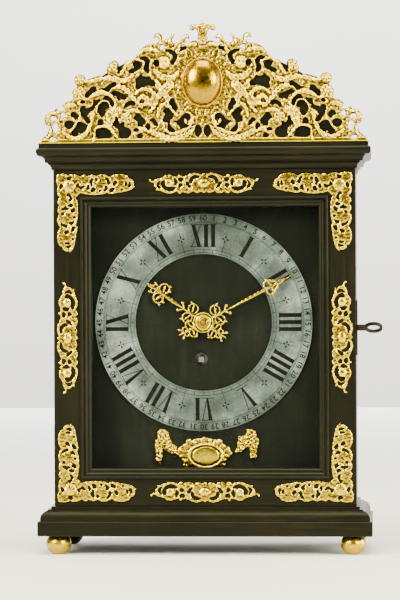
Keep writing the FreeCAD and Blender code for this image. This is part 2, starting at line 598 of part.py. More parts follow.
def inside(depth):
    """The Y of a depth behind the front plate's inner face."""
    return back(MOVEMENT_DEPTH + depth)


def box(x0, x1, y0, y1, z0, z1):
    return Part.makeBox(x1 - x0, y1 - y0, z1 - z0, V(x0, y0, z0))


def bar_y(radius, place, y0, y1):
    """A round bar along Y at a place (x, z)."""
    return Part.makeCylinder(radius, y1 - y0, V(place[0], y0, place[1]), Y_AXIS)


def bar_z(radius, x, y, z0, z1):
    return Part.makeCylinder(radius, z1 - z0, V(x, y, z0), Z_AXIS)


def bar_x(radius, y, z, x0, x1):
    return Part.makeCylinder(radius, x1 - x0, V(x0, y, z), X_AXIS)


def outline(start, steps):
    """A closed wire from a start point; a step of one point is a line and of two an arc."""
    edges = []
    here = start
    for step in steps:
        if len(step) == 2:
            edges.append(Part.Arc(here, step[0], step[1]).toShape())
        else:
            edges.append(Part.LineSegment(here, step[0]).toShape())
        here = step[-1]
    if here.distanceToPoint(start) > RUNNING_CLEARANCE / 2:
        edges.append(Part.LineSegment(here, start).toShape())
    return Part.Wire(edges)


def fused(shapes):
    """One solid from touching solids."""
    whole = shapes[0].fuse(shapes[1:]).removeSplitter()
    return whole.Solids[0] if len(whole.Solids) == 1 else whole


def group(shapes):
    return Part.makeCompound(shapes)


def mirrored(shape):
    """A copy on the other side of the middle plane."""
    return shape.mirror(V(0, 0, 0), X_AXIS)


def save(shape, name):
    shape.exportStep(os.path.join("parts", name + ".step"))


def sheet(x0, z0, u_dir, w_dir, y):
    """Puts a place (u, w) on an upright sheet at y; u and w run along two (x, z) directions."""
    def place(u, w):
        return V(x0 + u * u_dir[0] + w * w_dir[0], y, z0 + u * u_dir[1] + w * w_dir[1])
    return place


def lens_wire(u0, w0, u1, w1, width, place):
    """A leaf-shaped wire between two places, with its greatest width in the middle."""
    length = math.hypot(u1 - u0, w1 - w0)
    across_u = -(w1 - w0) / length * width / 2
    across_w = (u1 - u0) / length * width / 2
    middle_u = (u0 + u1) / 2
    middle_w = (w0 + w1) / 2
    left = place(middle_u + across_u, middle_w + across_w)
    right = place(middle_u - across_u, middle_w - across_w)
    return outline(place(u0, w0), [[left, place(u1, w1)], [right, place(u0, w0)]])


def prism(wire, thick):
    """A solid that runs back from an upright wire."""
    return Part.Face(wire).extrude(V(0, thick, 0))


def lens(u0, w0, u1, w1, width, place, thick):
    return prism(lens_wire(u0, w0, u1, w1, width, place), thick)


def smooth(points, closed):
    """A smooth edge through points; through two of them it is a straight line."""
    if len(points) == 2:
        return Part.LineSegment(*points).toShape()
    curve = Part.BSplineCurve()
    curve.interpolate(Points=points, PeriodicFlag=closed)
    return curve.toShape()


def traced(start, runs, place):
    """A closed wire through runs of points, smooth within each run, with a straight last side."""
    edges = []
    here = start
    for run in runs:
        edges.append(smooth([place(*spot) for spot in [here] + run], False))
        here = run[-1]
    edges.append(Part.LineSegment(place(*here), place(*start)).toShape())
    return Part.Wire(edges)


def openings(table, place, thick):
    """Cutters for piercings, each a smooth closed line through its points."""
    return [prism(Part.Wire([smooth([place(*spot) for spot in points], True)]), thick) for points in table]


def disc(u, w, radius, place, thick):
    return Part.makeCylinder(radius, thick, place(u, w), Y_AXIS)


def scaled(table, along, across):
    """Steps of an outline given as shares of a length and a width."""
    return [[(u * along, w * across) for u, w in step] for step in table]


def placed(steps, place):
    return [[place(u, w) for u, w in step] for step in steps]


def moulding(profile_shares, height, z0):
    """Front, left and right lengths of a moulding round the case, mitred at the front corners."""
    proud = MOULDING_PROJECTION
    steps = scaled(profile_shares, proud, height)

    def on_front(out, up):
        return V(-CASE_HALF - proud, FRONT_Y - out, z0 + up)

    def on_side(out, up):
        return V(CASE_HALF + out, FRONT_Y - proud, z0 + up)

    across = V(2 * (CASE_HALF + proud), 0, 0)
    along = V(0, BACK_Y - FRONT_Y + proud, 0)
    front = Part.Face(outline(on_front(0, 0), placed(steps, on_front))).extrude(across)
    side = Part.Face(outline(on_side(0, 0), placed(steps, on_side))).extrude(along)
    inner = V(CASE_HALF, FRONT_Y, z0)
    outer = V(CASE_HALF + proud, FRONT_Y - proud, z0)
    front_plan = [inner, outer, V(-outer.x, outer.y, z0), V(-inner.x, inner.y, z0), inner]
    side_plan = [inner, outer, V(outer.x, BACK_Y, z0), V(inner.x, BACK_Y, z0), inner]
    rise = V(0, 0, height)
    front = front.common(Part.Face(Part.makePolygon(front_plan)).extrude(rise))
    side = side.common(Part.Face(Part.makePolygon(side_plan)).extrude(rise))
    return group([front.Solids[0], side.Solids[0], mirrored(side.Solids[0])])


def toothed(teeth, module, shares, spot, thick, phase):
    """A toothed wheel; spot gives the point at an angle and radius, thick is the way it is thick."""
    addendum, dedendum, root, tip = shares
    pitch_radius = teeth * module / 2
    step = 2 * math.pi / teeth
    low = pitch_radius - dedendum * module
    high = pitch_radius + addendum * module
    points = []
    for tooth in range(teeth):
        for share, radius in ((-root, low), (-tip, high), (tip, high), (root, low)):
            points.append(spot(phase + (tooth + share) * step, radius))
    return Part.Face(Part.makePolygon(points + points[:1])).extrude(thick)


def round_y(centre, y):
    """Points round an axis along Y, with angles from +Z towards +X."""
    def spot(angle, radius):
        return V(centre[0] + radius * math.sin(angle), y, centre[1] + radius * math.cos(angle))
    return spot


def bearing_to(start, end):
    """The angle from +Z towards +X of the line from one arbor to another."""
    return math.atan2(end[0] - start[0], end[1] - start[1])


def mesh_phase(driver_teeth, driven_teeth, driver_phase, direction):
    """The phase at which a driven wheel's gap takes the driver's tooth."""
    driver_step = 2 * math.pi / driver_teeth
    driven_step = 2 * math.pi / driven_teeth
    lead = (driver_phase - direction) % driver_step
    return direction + math.pi + driven_step / 2 - lead * driver_teeth / driven_teeth


def crossed(wheel, centre, y, thick, rim_radius):
    """A wheel with four straight-sided windows between its spokes."""
    spot = round_y(centre, y - CUT_OVERRUN)
    windows = []
    quarter = math.pi / 2
    for arm in range(4):
        inner = math.asin(SPOKE_WIDTH / 2 / HUB_RADIUS)
        outer = math.asin(SPOKE_WIDTH / 2 / rim_radius)
        first = arm * quarter
        points = [
            spot(first + inner, HUB_RADIUS),
            spot(first + outer, rim_radius),
            spot(first + quarter / 2, rim_radius),
            spot(first + quarter - outer, rim_radius),
            spot(first + quarter - inner, HUB_RADIUS),
        ]
        windows.append(prism(Part.makePolygon(points + points[:1]), thick + 2 * CUT_OVERRUN))
    return wheel.cut(windows)


WHEEL_SHARES = (WHEEL_ADDENDUM_SHARE, WHEEL_DEDENDUM_SHARE, WHEEL_ROOT_SHARE, WHEEL_TIP_SHARE)
PINION_SHARES = (PINION_ADDENDUM_SHARE, PINION_DEDENDUM_SHARE, PINION_ROOT_SHARE, PINION_TIP_SHARE)
MOTION_SHARES = (MOTION_ADDENDUM_SHARE, MOTION_DEDENDUM_SHARE, MOTION_ROOT_SHARE, MOTION_TIP_SHARE)


def wheel_module(teeth, leaves, distance):
    return 2 * distance / (teeth + leaves)


BARREL_DISTANCE = math.hypot(BARREL_X, BARREL_DROP)
GREAT_MODULE = wheel_module(GREAT_TEETH, PINION_LEAVES, BARREL_DISTANCE)
CENTRE_MODULE = wheel_module(CENTRE_TEETH, PINION_LEAVES, THIRD_DISTANCE)
THIRD_MODULE = wheel_module(THIRD_TEETH, PINION_LEAVES, CONTRATE_DISTANCE)
CANNON_MODULE = wheel_module(MINUTE_WHEEL_TEETH, CANNON_TEETH, MINUTE_WHEEL_DISTANCE)
HOUR_MODULE = wheel_module(HOUR_TEETH, MINUTE_PINION_LEAVES, MINUTE_WHEEL_DISTANCE)

os.makedirs("parts", exist_ok=True)


# Case: base, feet, carcass and cornice
def foot(x, y):
    """A turned ball foot with a flat to stand on and a stud into the base board."""
    def at(radius, z):
        return V(x + radius, y, z)

    stud_top = FOOT_HEIGHT + FOOT_STUD_LENGTH
    steps = [
        [at(FOOT_FLAT_RADIUS, 0)],
        [at(FOOT_RADIUS, FOOT_HEIGHT * FOOT_BELLY_SHARE), at(FOOT_NECK_RADIUS, FOOT_HEIGHT)],
        [at(FOOT_STUD_RADIUS, FOOT_HEIGHT)],
        [at(FOOT_STUD_RADIUS, stud_top)],
        [at(0, stud_top)],
    ]
    return Part.Face(outline(at(0, 0), steps)).revolve(V(x, y, 0), Z_AXIS, 360)


FOOT_X = CASE_HALF - FOOT_INSET
FOOT_FRONT_Y = FRONT_Y + FOOT_INSET
FOOT_BACK_Y = BACK_Y - FOOT_SETBACK
FOOT_PLACES = [(side * FOOT_X, y) for side in (-1, 1) for y in (FOOT_FRONT_Y, FOOT_BACK_Y)]
save(group([foot(x, y) for x, y in FOOT_PLACES]), "ball_feet")

stud_holes = [
    bar_z(FOOT_STUD_RADIUS + RUNNING_CLEARANCE, x, y, BASE_Z - CUT_OVERRUN,
    BASE_Z + FOOT_STUD_LENGTH + RUNNING_CLEARANCE)
    for x, y in FOOT_PLACES
]
base_board = box(-CASE_HALF, CASE_HALF, FRONT_Y, BACK_Y, BASE_Z, CARCASS_Z).cut(stud_holes)
save(base_board, "base_board")
save(moulding(BASE_PROFILE_SHARES, BASE_HEIGHT, BASE_Z), "base_moulding")
save(moulding(CORNICE_PROFILE_SHARES, CORNICE_HEIGHT, CORNICE_Z), "cornice_moulding")
save(box(-CASE_HALF, CASE_HALF, FRONT_Y, BACK_Y, CORNICE_Z, TOP_Z), "top_board")
save(box(-SIDE_INNER, SIDE_INNER, BACK_Y - BACK_THICK, BACK_Y, CARCASS_Z, CORNICE_Z), "back_board")


# Hinges: the knuckles run in a groove where the door meets the left side
HINGE_Y = back(HINGE_DEPTH)
LEAF_EDGE_X = -CASE_HALF + LEAF_WIDTH


def hinge_bar(radius, z0, z1):
    return bar_z(radius, HINGE_X, HINGE_Y, z0, z1)


def leaf_box(front_depth, middle_z, from_x):
    low = middle_z - HINGE_LENGTH / 2
    return box(from_x, LEAF_EDGE_X, back(front_depth), back(front_depth + LEAF_THICK), low,
        low + HINGE_LENGTH)


def hinge(middle_z):
    """The case leaf, door leaf and pin of one butt hinge."""
    low = middle_z - HINGE_LENGTH / 2
    high = middle_z + HINGE_LENGTH / 2
    first = low + HINGE_LENGTH / 3
    second = high - HINGE_LENGTH / 3
    room = KNUCKLE_RADIUS + KNUCKLE_ROOM
    bore = hinge_bar(HINGE_PIN_RADIUS + RUNNING_CLEARANCE, low - CUT_OVERRUN, high + CUT_OVERRUN)
    case_leaf = leaf_box(CARCASS_DEPTH, middle_z, HINGE_X).cut(hinge_bar(room, first, second))
    case_knuckles = [
        hinge_bar(KNUCKLE_RADIUS, low, first - KNUCKLE_GAP),
        hinge_bar(KNUCKLE_RADIUS, second + KNUCKLE_GAP, high),
    ]
    end_rooms = [
        hinge_bar(room, low - CUT_OVERRUN, first),
        hinge_bar(room, second, high + CUT_OVERRUN),
    ]
    door_leaf = leaf_box(DOOR_THICK - LEAF_THICK, middle_z, HINGE_X).cut(end_rooms)
    door_knuckle = hinge_bar(KNUCKLE_RADIUS, first, second)
    pin = [
        hinge_bar(HINGE_PIN_RADIUS, low - PIN_CAP_HEIGHT, high + PIN_CAP_HEIGHT),
        hinge_bar(PIN_CAP_RADIUS, low - PIN_CAP_HEIGHT, low),
        hinge_bar(PIN_CAP_RADIUS, high, high + PIN_CAP_HEIGHT),
    ]
    case_solid = fused([case_leaf] + case_knuckles).cut(bore)
    door_solid = fused([door_leaf, door_knuckle]).cut(bore)
    return case_solid.Solids[0], door_solid.Solids[0], fused(pin)


HINGE_MIDDLES = (HINGE_TOP_Z, HINGE_BOTTOM_Z)
hinges = [hinge(z) for z in HINGE_MIDDLES]
save(group([leaves[0] for leaves in hinges]), "hinge_case_leaves")
save(group([leaves[1] for leaves in hinges]), "hinge_door_leaves")
save(group([leaves[2] for leaves in hinges]), "hinge_pins")

groove_reach = HINGE_LENGTH / 2 + PIN_CAP_HEIGHT + KNUCKLE_ROOM
grooves = [hinge_bar(KNUCKLE_RADIUS + KNUCKLE_ROOM, z - groove_reach,
    z + groove_reach) for z in HINGE_MIDDLES]
case_lets = [leaf_box(CARCASS_DEPTH, z, HINGE_X) for z in HINGE_MIDDLES]
door_lets = [leaf_box(DOOR_THICK - LEAF_THICK, z, HINGE_X) for z in HINGE_MIDDLES]

side = box(SIDE_INNER, CASE_HALF, back(CARCASS_DEPTH), BACK_Y, CARCASS_Z, CORNICE_Z)
save(mirrored(side).cut(grooves + case_lets), "side_left")


# Lock: an iron box behind the right side, with a bolt that the key turns forward into the door
KEY_Y = back(KEY_DEPTH)
LOCK_FRONT_Y = back(CARCASS_DEPTH + LOCK_FRONT_GAP)
LOCK_BACK_Y = LOCK_FRONT_Y + LOCK_DEPTH
LOCK_INNER_X = SIDE_INNER - LOCK_WIDTH
BIT_MIDDLE_X = SIDE_INNER - BIT_INSET
SHANK_X = LOCK_INNER_X + LOCK_WALL + KEY_TAIL_GAP
BOLT_LEFT_X = SHANK_X + KEY_TAIL_GAP / 2
BOLT_RIGHT_X = BOLT_LEFT_X + BOLT_WIDTH
BOLT_SWEEP = math.hypot(BOLT_REACH, BOLT_HALF) + BOLT_ROOM


def keyhole(x0, x1):
    """A round hole with a slot below it, for the shank and the bit."""
    hole = bar_x(KEY_SHANK_RADIUS + KEYHOLE_ROOM, KEY_Y, KEY_Z, x0, x1)
    half = KEYHOLE_SLOT_WIDTH / 2
    slot = box(x0, x1, KEY_Y - half, KEY_Y + half, KEY_Z - KEYHOLE_SLOT_DROP, KEY_Z)
    return hole.fuse(slot)


save(side.cut(keyhole(SIDE_INNER - CUT_OVERRUN, CASE_HALF + CUT_OVERRUN)), "side_right")


def bolt_way(y0, y1):
    """The room the bolt's arm sweeps through."""
    low = KEY_Z - BOLT_HALF - BOLT_ROOM
    return box(BOLT_LEFT_X - BOLT_ROOM, BOLT_RIGHT_X + BOLT_ROOM, y0, y1, low, KEY_Z + BOLT_SWEEP)


lock_low = KEY_Z - LOCK_HEIGHT / 2
lock_high = KEY_Z + LOCK_HEIGHT / 2
lock_case = box(LOCK_INNER_X, SIDE_INNER, LOCK_FRONT_Y, LOCK_BACK_Y, lock_low, lock_high)
lock_room = box(
    LOCK_INNER_X + LOCK_WALL, SIDE_INNER + CUT_OVERRUN, LOCK_FRONT_Y + LOCK_WALL, LOCK_BACK_Y - LOCK_WALL,
    lock_low + LOCK_WALL, lock_high - LOCK_WALL,
)
front_way = bolt_way(LOCK_FRONT_Y - CUT_OVERRUN, LOCK_FRONT_Y + LOCK_WALL + CUT_OVERRUN)
save(lock_case.cut([lock_room, front_way]), "lock_case")

bolt_arm = box(BOLT_LEFT_X, BOLT_RIGHT_X, KEY_Y - BOLT_HALF, KEY_Y + BOLT_HALF, KEY_Z, KEY_Z + BOLT_REACH)
bolt_hub = bar_x(KEY_SHANK_RADIUS + BOLT_WALL, KEY_Y, KEY_Z, BOLT_LEFT_X, BOLT_RIGHT_X)
bolt_bore = bar_x(KEY_SHANK_RADIUS, KEY_Y, KEY_Z, BOLT_LEFT_X - CUT_OVERRUN, BOLT_RIGHT_X + CUT_OVERRUN)
save(fused([bolt_arm, bolt_hub]).cut(bolt_bore), "lock_bolt")

escutcheon_x = CASE_HALF + ESCUTCHEON_THICK
collar_x = escutcheon_x + RUNNING_CLEARANCE
bow_x = collar_x + KEY_COLLAR_LENGTH + KEY_BOW_RADIUS
bit_half = KEY_BIT_WIDTH / 2
shank = bar_x(KEY_SHANK_RADIUS, KEY_Y, KEY_Z, SHANK_X, collar_x + KEY_COLLAR_LENGTH)
collar = bar_x(KEY_COLLAR_RADIUS, KEY_Y, KEY_Z, collar_x, collar_x + KEY_COLLAR_LENGTH)
bow_low = KEY_Z - KEY_BOW_WIRE
bow_high = KEY_Z + KEY_BOW_WIRE
bow_eye = bar_z(KEY_BOW_RADIUS - KEY_BOW_WIRE, bow_x, KEY_Y, bow_low - CUT_OVERRUN, bow_high + CUT_OVERRUN)
bow = bar_z(KEY_BOW_RADIUS + KEY_BOW_WIRE, bow_x, KEY_Y, bow_low, bow_high).cut(bow_eye)
bit = box(
    BIT_MIDDLE_X - bit_half, BIT_MIDDLE_X + bit_half, KEY_Y, KEY_Y + KEY_BIT_REACH,
    KEY_Z - KEY_BIT_THICK / 2, KEY_Z + KEY_BIT_THICK / 2,
)
door_key = fused([shank, collar, bow, bit])
door_key.rotate(V(0, KEY_Y, KEY_Z), X_AXIS, -KEY_TILT)
save(door_key, "door_key")

escutcheon_half = ESCUTCHEON_WIDTH / 2
escutcheon_plan = outline(
    V(CASE_HALF, KEY_Y, KEY_Z - ESCUTCHEON_HEIGHT / 2),
    [
        [V(CASE_HALF, KEY_Y + escutcheon_half, KEY_Z), V(CASE_HALF, KEY_Y, KEY_Z + ESCUTCHEON_HEIGHT / 2)],
        [V(CASE_HALF, KEY_Y - escutcheon_half, KEY_Z), V(CASE_HALF, KEY_Y, KEY_Z - ESCUTCHEON_HEIGHT / 2)],
    ],
)
escutcheon = Part.Face(escutcheon_plan).extrude(V(ESCUTCHEON_THICK, 0, 0))
save(escutcheon.cut(keyhole(CASE_HALF - CUT_OVERRUN, escutcheon_x + CUT_OVERRUN)), "key_escutcheon")


# Door: stiles and rails, mitred sight moulding, glass and beads
stile = box(FRAME_INNER, CASE_HALF, FRONT_Y, back(DOOR_THICK), DOOR_Z, DOOR_TOP_Z)
strike_low = KEY_Z + (BOLT_REACH - STRIKE_HEIGHT) / 2
strike_from = BOLT_LEFT_X + (BOLT_WIDTH - STRIKE_WIDTH) / 2
strike_y = back(DOOR_THICK - STRIKE_THICK)
strike = box(
    strike_from, strike_from + STRIKE_WIDTH, strike_y, back(DOOR_THICK), strike_low,
    strike_low + STRIKE_HEIGHT,
)
mortise = bolt_way(back(KEY_DEPTH) - BOLT_SWEEP, back(DOOR_THICK + CUT_OVERRUN))
save(strike.cut(mortise), "strike_plate")
stile_right = stile.cut([strike, mortise])
stile_left = mirrored(stile).cut(grooves + door_lets)
save(group([stile_left.Solids[0], stile_right.Solids[0]]), "door_stiles")
rail_low = box(-FRAME_INNER, FRAME_INNER, FRONT_Y, back(DOOR_THICK), DOOR_Z, FRAME_LOW_Z)
rail_high = box(-FRAME_INNER, FRAME_INNER, FRONT_Y, back(DOOR_THICK), FRAME_HIGH_Z, DOOR_TOP_Z)
save(group([rail_low, rail_high]), "door_rails")

sight_rise = GLASS_DEPTH + SIGHT_MOULDING_PROUD
sight_steps = scaled(SIGHT_PROFILE_SHARES, SIGHT_MOULDING_WIDTH, sight_rise)
sight_x = FRAME_INNER - SIGHT_MOULDING_WIDTH
sight_low = FRAME_LOW_Z + SIGHT_MOULDING_WIDTH
sight_high = FRAME_HIGH_Z - SIGHT_MOULDING_WIDTH


def sight_upright(inwards, proud):
    return V(FRAME_INNER - inwards, back(GLASS_DEPTH) - proud, FRAME_LOW_Z)


def sight_level(inwards, proud):
    return V(-FRAME_INNER, back(GLASS_DEPTH) - proud, FRAME_LOW_Z + inwards)


def sight_length(to_place, run, corners):
    """One length of the sight moulding, mitred by the outline of its corners."""
    length = Part.Face(outline(to_place(0, 0), placed(sight_steps, to_place))).extrude(run)
    front = back(-SIGHT_MOULDING_PROUD) - CUT_OVERRUN
    points = [V(x, front, z) for x, z in corners]
    mitre = Part.Face(Part.makePolygon(points + points[:1])).extrude(V(0, sight_rise + 2 * CUT_OVERRUN, 0))
    return length.common(mitre).Solids[0]


upright = sight_length(
    sight_upright,
    V(0, 0, FRAME_HIGH_Z - FRAME_LOW_Z),
    [(FRAME_INNER, FRAME_LOW_Z), (FRAME_INNER, FRAME_HIGH_Z), (sight_x, sight_high), (sight_x, sight_low)],
)
level = sight_length(
    sight_level,
    V(2 * FRAME_INNER, 0, 0),
    [(-FRAME_INNER, FRAME_LOW_Z), (FRAME_INNER, FRAME_LOW_Z), (sight_x, sight_low), (-sight_x, sight_low)],
)


def upended(shape):
    """A copy turned over about the door's middle height."""
    return shape.mirror(V(0, 0, DOOR_CENTRE_Z), Z_AXIS)


save(group([upright, mirrored(upright), level, upended(level)]), "door_moulding")

glass_x = FRAME_INNER - GLASS_PLAY
glass_low = FRAME_LOW_Z + GLASS_PLAY
glass_high = FRAME_HIGH_Z - GLASS_PLAY
bead_y = back(GLASS_DEPTH + GLASS_THICK)
save(box(-glass_x, glass_x, back(GLASS_DEPTH), bead_y, glass_low, glass_high), "door_glass")
bead_x = FRAME_INNER - BEAD_WIDTH
bead_upright = box(bead_x, FRAME_INNER, bead_y, bead_y + BEAD_DEPTH, FRAME_LOW_Z, FRAME_HIGH_Z)
bead_level = box(-bead_x, bead_x, bead_y, bead_y + BEAD_DEPTH, FRAME_LOW_Z, FRAME_LOW_Z + BEAD_WIDTH)
save(group([bead_upright, mirrored(bead_upright), bead_level, upended(bead_level)]), "glazing_beads")


# Door mounts: pierced gilt plates on the frame's face
MOUNT_Y = FRONT_Y - MOUNT_THICK
mount_cut = MOUNT_THICK + 2 * CUT_OVERRUN


CORNER_SCALE = CORNER_ARM_LENGTH / CORNER_ARM_PX
BAND_SCALE_W = MOUNT_WIDTH / BAND_WIDTH_PX


def along_mount(x, z, way, across, scale_u, scale_w, y):
    """Puts pixels along and across a mount on the door's face at y."""
    return sheet(x, z, (way[0] * scale_u, way[1] * scale_u), (across[0] * scale_w, across[1] * scale_w), y)


def corner_arm(corner_x, corner_z, way, across):
    """One pierced arm of a corner mount, from the door's corner along the frame to the corner's diagonal."""
    front = along_mount(corner_x, corner_z, way, across, CORNER_SCALE, CORNER_SCALE, MOUNT_Y)
    before = along_mount(corner_x, corner_z, way, across, CORNER_SCALE, CORNER_SCALE, MOUNT_Y - CUT_OVERRUN)
    plate = prism(traced(CORNER_START_PX, CORNER_EDGE_PX, front), MOUNT_THICK)
    return plate.cut(openings(CORNER_PIERCINGS_PX, before, mount_cut))


corner_x = CASE_HALF - MOUNT_MARGIN
corner_z = DOOR_TOP_Z - MOUNT_MARGIN
arm_ways = [((-1, 0), (0, -1)), ((0, -1), (-1, 0))]
corner_mount = fused([corner_arm(corner_x, corner_z, way, across) for way, across in arm_ways]).Solids[0]
corner_pair = [corner_mount, mirrored(corner_mount)]
save(group(corner_pair + [upended(mount) for mount in corner_pair]), "corner_mounts")


def band_mount(middle_x, middle_z, way, across, length):
    """A long mount, alike on both sides of its middle."""
    scale_u = length / 2 / BAND_HALF_PX
    plates = []
    for turn in (1, -1):
        turned = (way[0] * turn, way[1] * turn)
        front = along_mount(middle_x, middle_z, turned, across, scale_u, BAND_SCALE_W, MOUNT_Y)
        before = along_mount(middle_x, middle_z, turned, across, scale_u, BAND_SCALE_W,
            MOUNT_Y - CUT_OVERRUN)
        plate = prism(traced(BAND_START_PX, BAND_EDGE_PX, front), MOUNT_THICK)
        plates.append(plate.cut(openings(BAND_PIERCINGS_PX, before, mount_cut)))
    return fused(plates)


rail_mount_z = DOOR_TOP_Z - MOUNT_MARGIN - MOUNT_WIDTH / 2
rail_mount = band_mount(0, rail_mount_z, (1, 0), (0, 1), RAIL_MOUNT_LENGTH)
save(group([rail_mount, upended(rail_mount)]), "rail_mounts")
stile_mount_x = CASE_HALF - MOUNT_MARGIN - MOUNT_WIDTH / 2
stile_mount = band_mount(stile_mount_x, DOOR_CENTRE_Z, (0, 1), (1, 0), STILE_MOUNT_LENGTH)
save(group([stile_mount, mirrored(stile_mount)]), "stile_mounts")


# Dial: velvet-covered plate on two battens, silvered ring, cartouche and festoons
batten = box(
    DIAL_HALF_WIDTH - BATTEN_LAP, SIDE_INNER, back(DIAL_BACK), back(DIAL_BACK + BATTEN_THICK),
    DIAL_BOTTOM_Z, DIAL_TOP_Z,
)
save(group([batten, mirrored(batten)]), "dial_battens")

dial_bores = [
    bar_y(DIAL_BORE, CENTRE, back(VELVET_DEPTH) - CUT_OVERRUN, back(DIAL_BACK) + CUT_OVERRUN),
    bar_y(WINDING_BORE, BARREL, back(VELVET_DEPTH) - CUT_OVERRUN, back(DIAL_BACK) + CUT_OVERRUN),
]
DIAL_FEET = [(DIAL_X + side * DIAL_FOOT_X, DIAL_Z + z) for side in (-1, 1) for z in (-DIAL_FOOT_LOW,
    DIAL_FOOT_HIGH)]
dial_plate = box(-DIAL_HALF_WIDTH, DIAL_HALF_WIDTH, back(DIAL_DEPTH), back(DIAL_BACK), DIAL_BOTTOM_Z,
    DIAL_TOP_Z)
dial_feet = [bar_y(DIAL_FOOT_RADIUS, place, back(DIAL_BACK),
    back(FRONT_PLATE_DEPTH)) for place in DIAL_FEET]
save(fused([dial_plate.cut(dial_bores)] + dial_feet), "dial_plate")
velvet = box(
    VELVET_MARGIN - DIAL_HALF_WIDTH, DIAL_HALF_WIDTH - VELVET_MARGIN, back(VELVET_DEPTH), back(DIAL_DEPTH),
    DIAL_BOTTOM_Z + VELVET_MARGIN, DIAL_TOP_Z - VELVET_MARGIN,
)
save(velvet.cut(dial_bores), "dial_velvet")

ring = bar_y(RING_OUTER_RADIUS, CENTRE, back(RING_DEPTH), back(VELVET_DEPTH))
ring_hole = bar_y(RING_INNER_RADIUS, CENTRE, back(RING_DEPTH) - CUT_OVERRUN,
    back(VELVET_DEPTH) + CUT_OVERRUN)
save(ring.cut(ring_hole), "chapter_ring")

cartouche_y = back(VELVET_DEPTH - CARTOUCHE_THICK)
cartouche_place = sheet(DIAL_X, DIAL_Z - CARTOUCHE_DROP, (CARTOUCHE_WIDTH / 2, 0),
    (0, CARTOUCHE_HEIGHT / 2), cartouche_y)
shield_place = sheet(
    DIAL_X, DIAL_Z - CARTOUCHE_DROP, (CARTOUCHE_WIDTH / 2, 0), (0, CARTOUCHE_HEIGHT / 2),
    cartouche_y - CARTOUCHE_BOSS,
)
shield_frame = outline(
    cartouche_place(-FRAME_REACH_SHARE, 0),
    [
        [cartouche_place(0, OVAL_SHARE), cartouche_place(FRAME_REACH_SHARE, 0)],
        [cartouche_place(0, -OVAL_SHARE), cartouche_place(-FRAME_REACH_SHARE, 0)],
    ],
)
shield_face = outline(
    shield_place(-SHIELD_REACH_SHARE, 0),
    [
        [shield_place(0, SHIELD_REACH_SHARE * OVAL_SHARE), shield_place(SHIELD_REACH_SHARE, 0)],
        [shield_place(0, -SHIELD_REACH_SHARE * OVAL_SHARE), shield_place(-SHIELD_REACH_SHARE, 0)],
    ],
)
lobes = [
    disc(u, w, share * CARTOUCHE_HEIGHT / 2, cartouche_place, CARTOUCHE_THICK) for u, w,
    share in CARTOUCHE_LOBE_SHARES
]
cartouche = [prism(shield_frame, CARTOUCHE_THICK), prism(shield_face, CARTOUCHE_THICK + CARTOUCHE_BOSS)]
save(fused(cartouche + lobes), "dial_cartouche")


def festoon(side):
    """A hanging cluster of leaves beside the cartouche."""
    place = sheet(
        DIAL_X + side * FESTOON_X, DIAL_Z - FESTOON_DROP, (side * FESTOON_WIDTH / 2, 0),
        (0, FESTOON_HEIGHT / 2), cartouche_y,
    )
    leaves = []
    for u0, w0, u1, w1, width in FESTOON_LENS_SHARES:
        leaves.append(lens(u0, w0, u1, w1, width, place, CARTOUCHE_THICK))
    return fused(leaves)


save(group([festoon(-1), festoon(1)]), "dial_festoons")


# Hands, drawn upright from the centre and then turned to their places
def hand(depth, loops, leaves, beads, bore, angle):
    """A pierced hand of rings, leaves and beads on both sides of its stem."""
    scale = MINUTE_LENGTH / MINUTE_TIP_PX
    pieces = [disc(0, 0, HAND_BOSS_RADIUS, sheet(CENTRE[0], CENTRE[1], (0, 1), (1, 0), back(depth)),
        HAND_THICK)]
    for side in (1, -1):
        front = sheet(CENTRE[0], CENTRE[1], (0, scale), (scale * side, 0), back(depth))
        before = sheet(CENTRE[0], CENTRE[1], (0, scale), (scale * side, 0), back(depth) - CUT_OVERRUN)
        for u, w, outer, inner in ROOT_LOOPS_PX + loops:
            hole = disc(u, w, inner * scale, before, HAND_THICK + 2 * CUT_OVERRUN)
            pieces.append(disc(u, w, outer * scale, front, HAND_THICK).cut(hole))
        for u0, w0, u1, w1, width in ROOT_LEAVES_PX + leaves:
            if side == 1 or w0 or w1:
                pieces.append(lens(u0, w0, u1, w1, width, front, HAND_THICK))
        for u, w, radius in ROOT_BEADS_PX + beads:
            pieces.append(disc(u, w, radius * scale, front, HAND_THICK))
    hole = bar_y(bore, CENTRE, back(depth) - CUT_OVERRUN, back(depth) + HAND_THICK + CUT_OVERRUN)
    shape = fused(pieces).cut(hole)
    shape.rotate(V(CENTRE[0], 0, CENTRE[1]), Y_AXIS, angle)
    return shape.Solids[0]


save(hand(MINUTE_DEPTH, MINUTE_LOOPS_PX, MINUTE_LEAVES_PX, MINUTE_BEADS_PX, CANNON_RADIUS, MINUTE_ANGLE),
    "minute_hand")
save(hand(HOUR_DEPTH, HOUR_LOOPS_PX, HOUR_LEAVES_PX, HOUR_BEADS_PX, HOUR_PIPE_RADIUS, HOUR_ANGLE),
    "hour_hand")
collet_y = back(MINUTE_DEPTH)
collet = Part.makeCone(COLLET_RADIUS, COLLET_TOP_RADIUS, COLLET_HEIGHT,
    V(CENTRE[0], collet_y, CENTRE[1]), -Y_AXIS)
collet_bore = bar_y(ARBOR_RADIUS, CENTRE, collet_y - COLLET_HEIGHT - CUT_OVERRUN, collet_y + CUT_OVERRUN)
save(collet.cut(collet_bore), "hand_collet")


# Movement plates with their pillars, studs and pivot holes
def ahead(distance):
    """The Y of a distance in front of the front plate."""
    return back(FRONT_PLATE_DEPTH - distance)


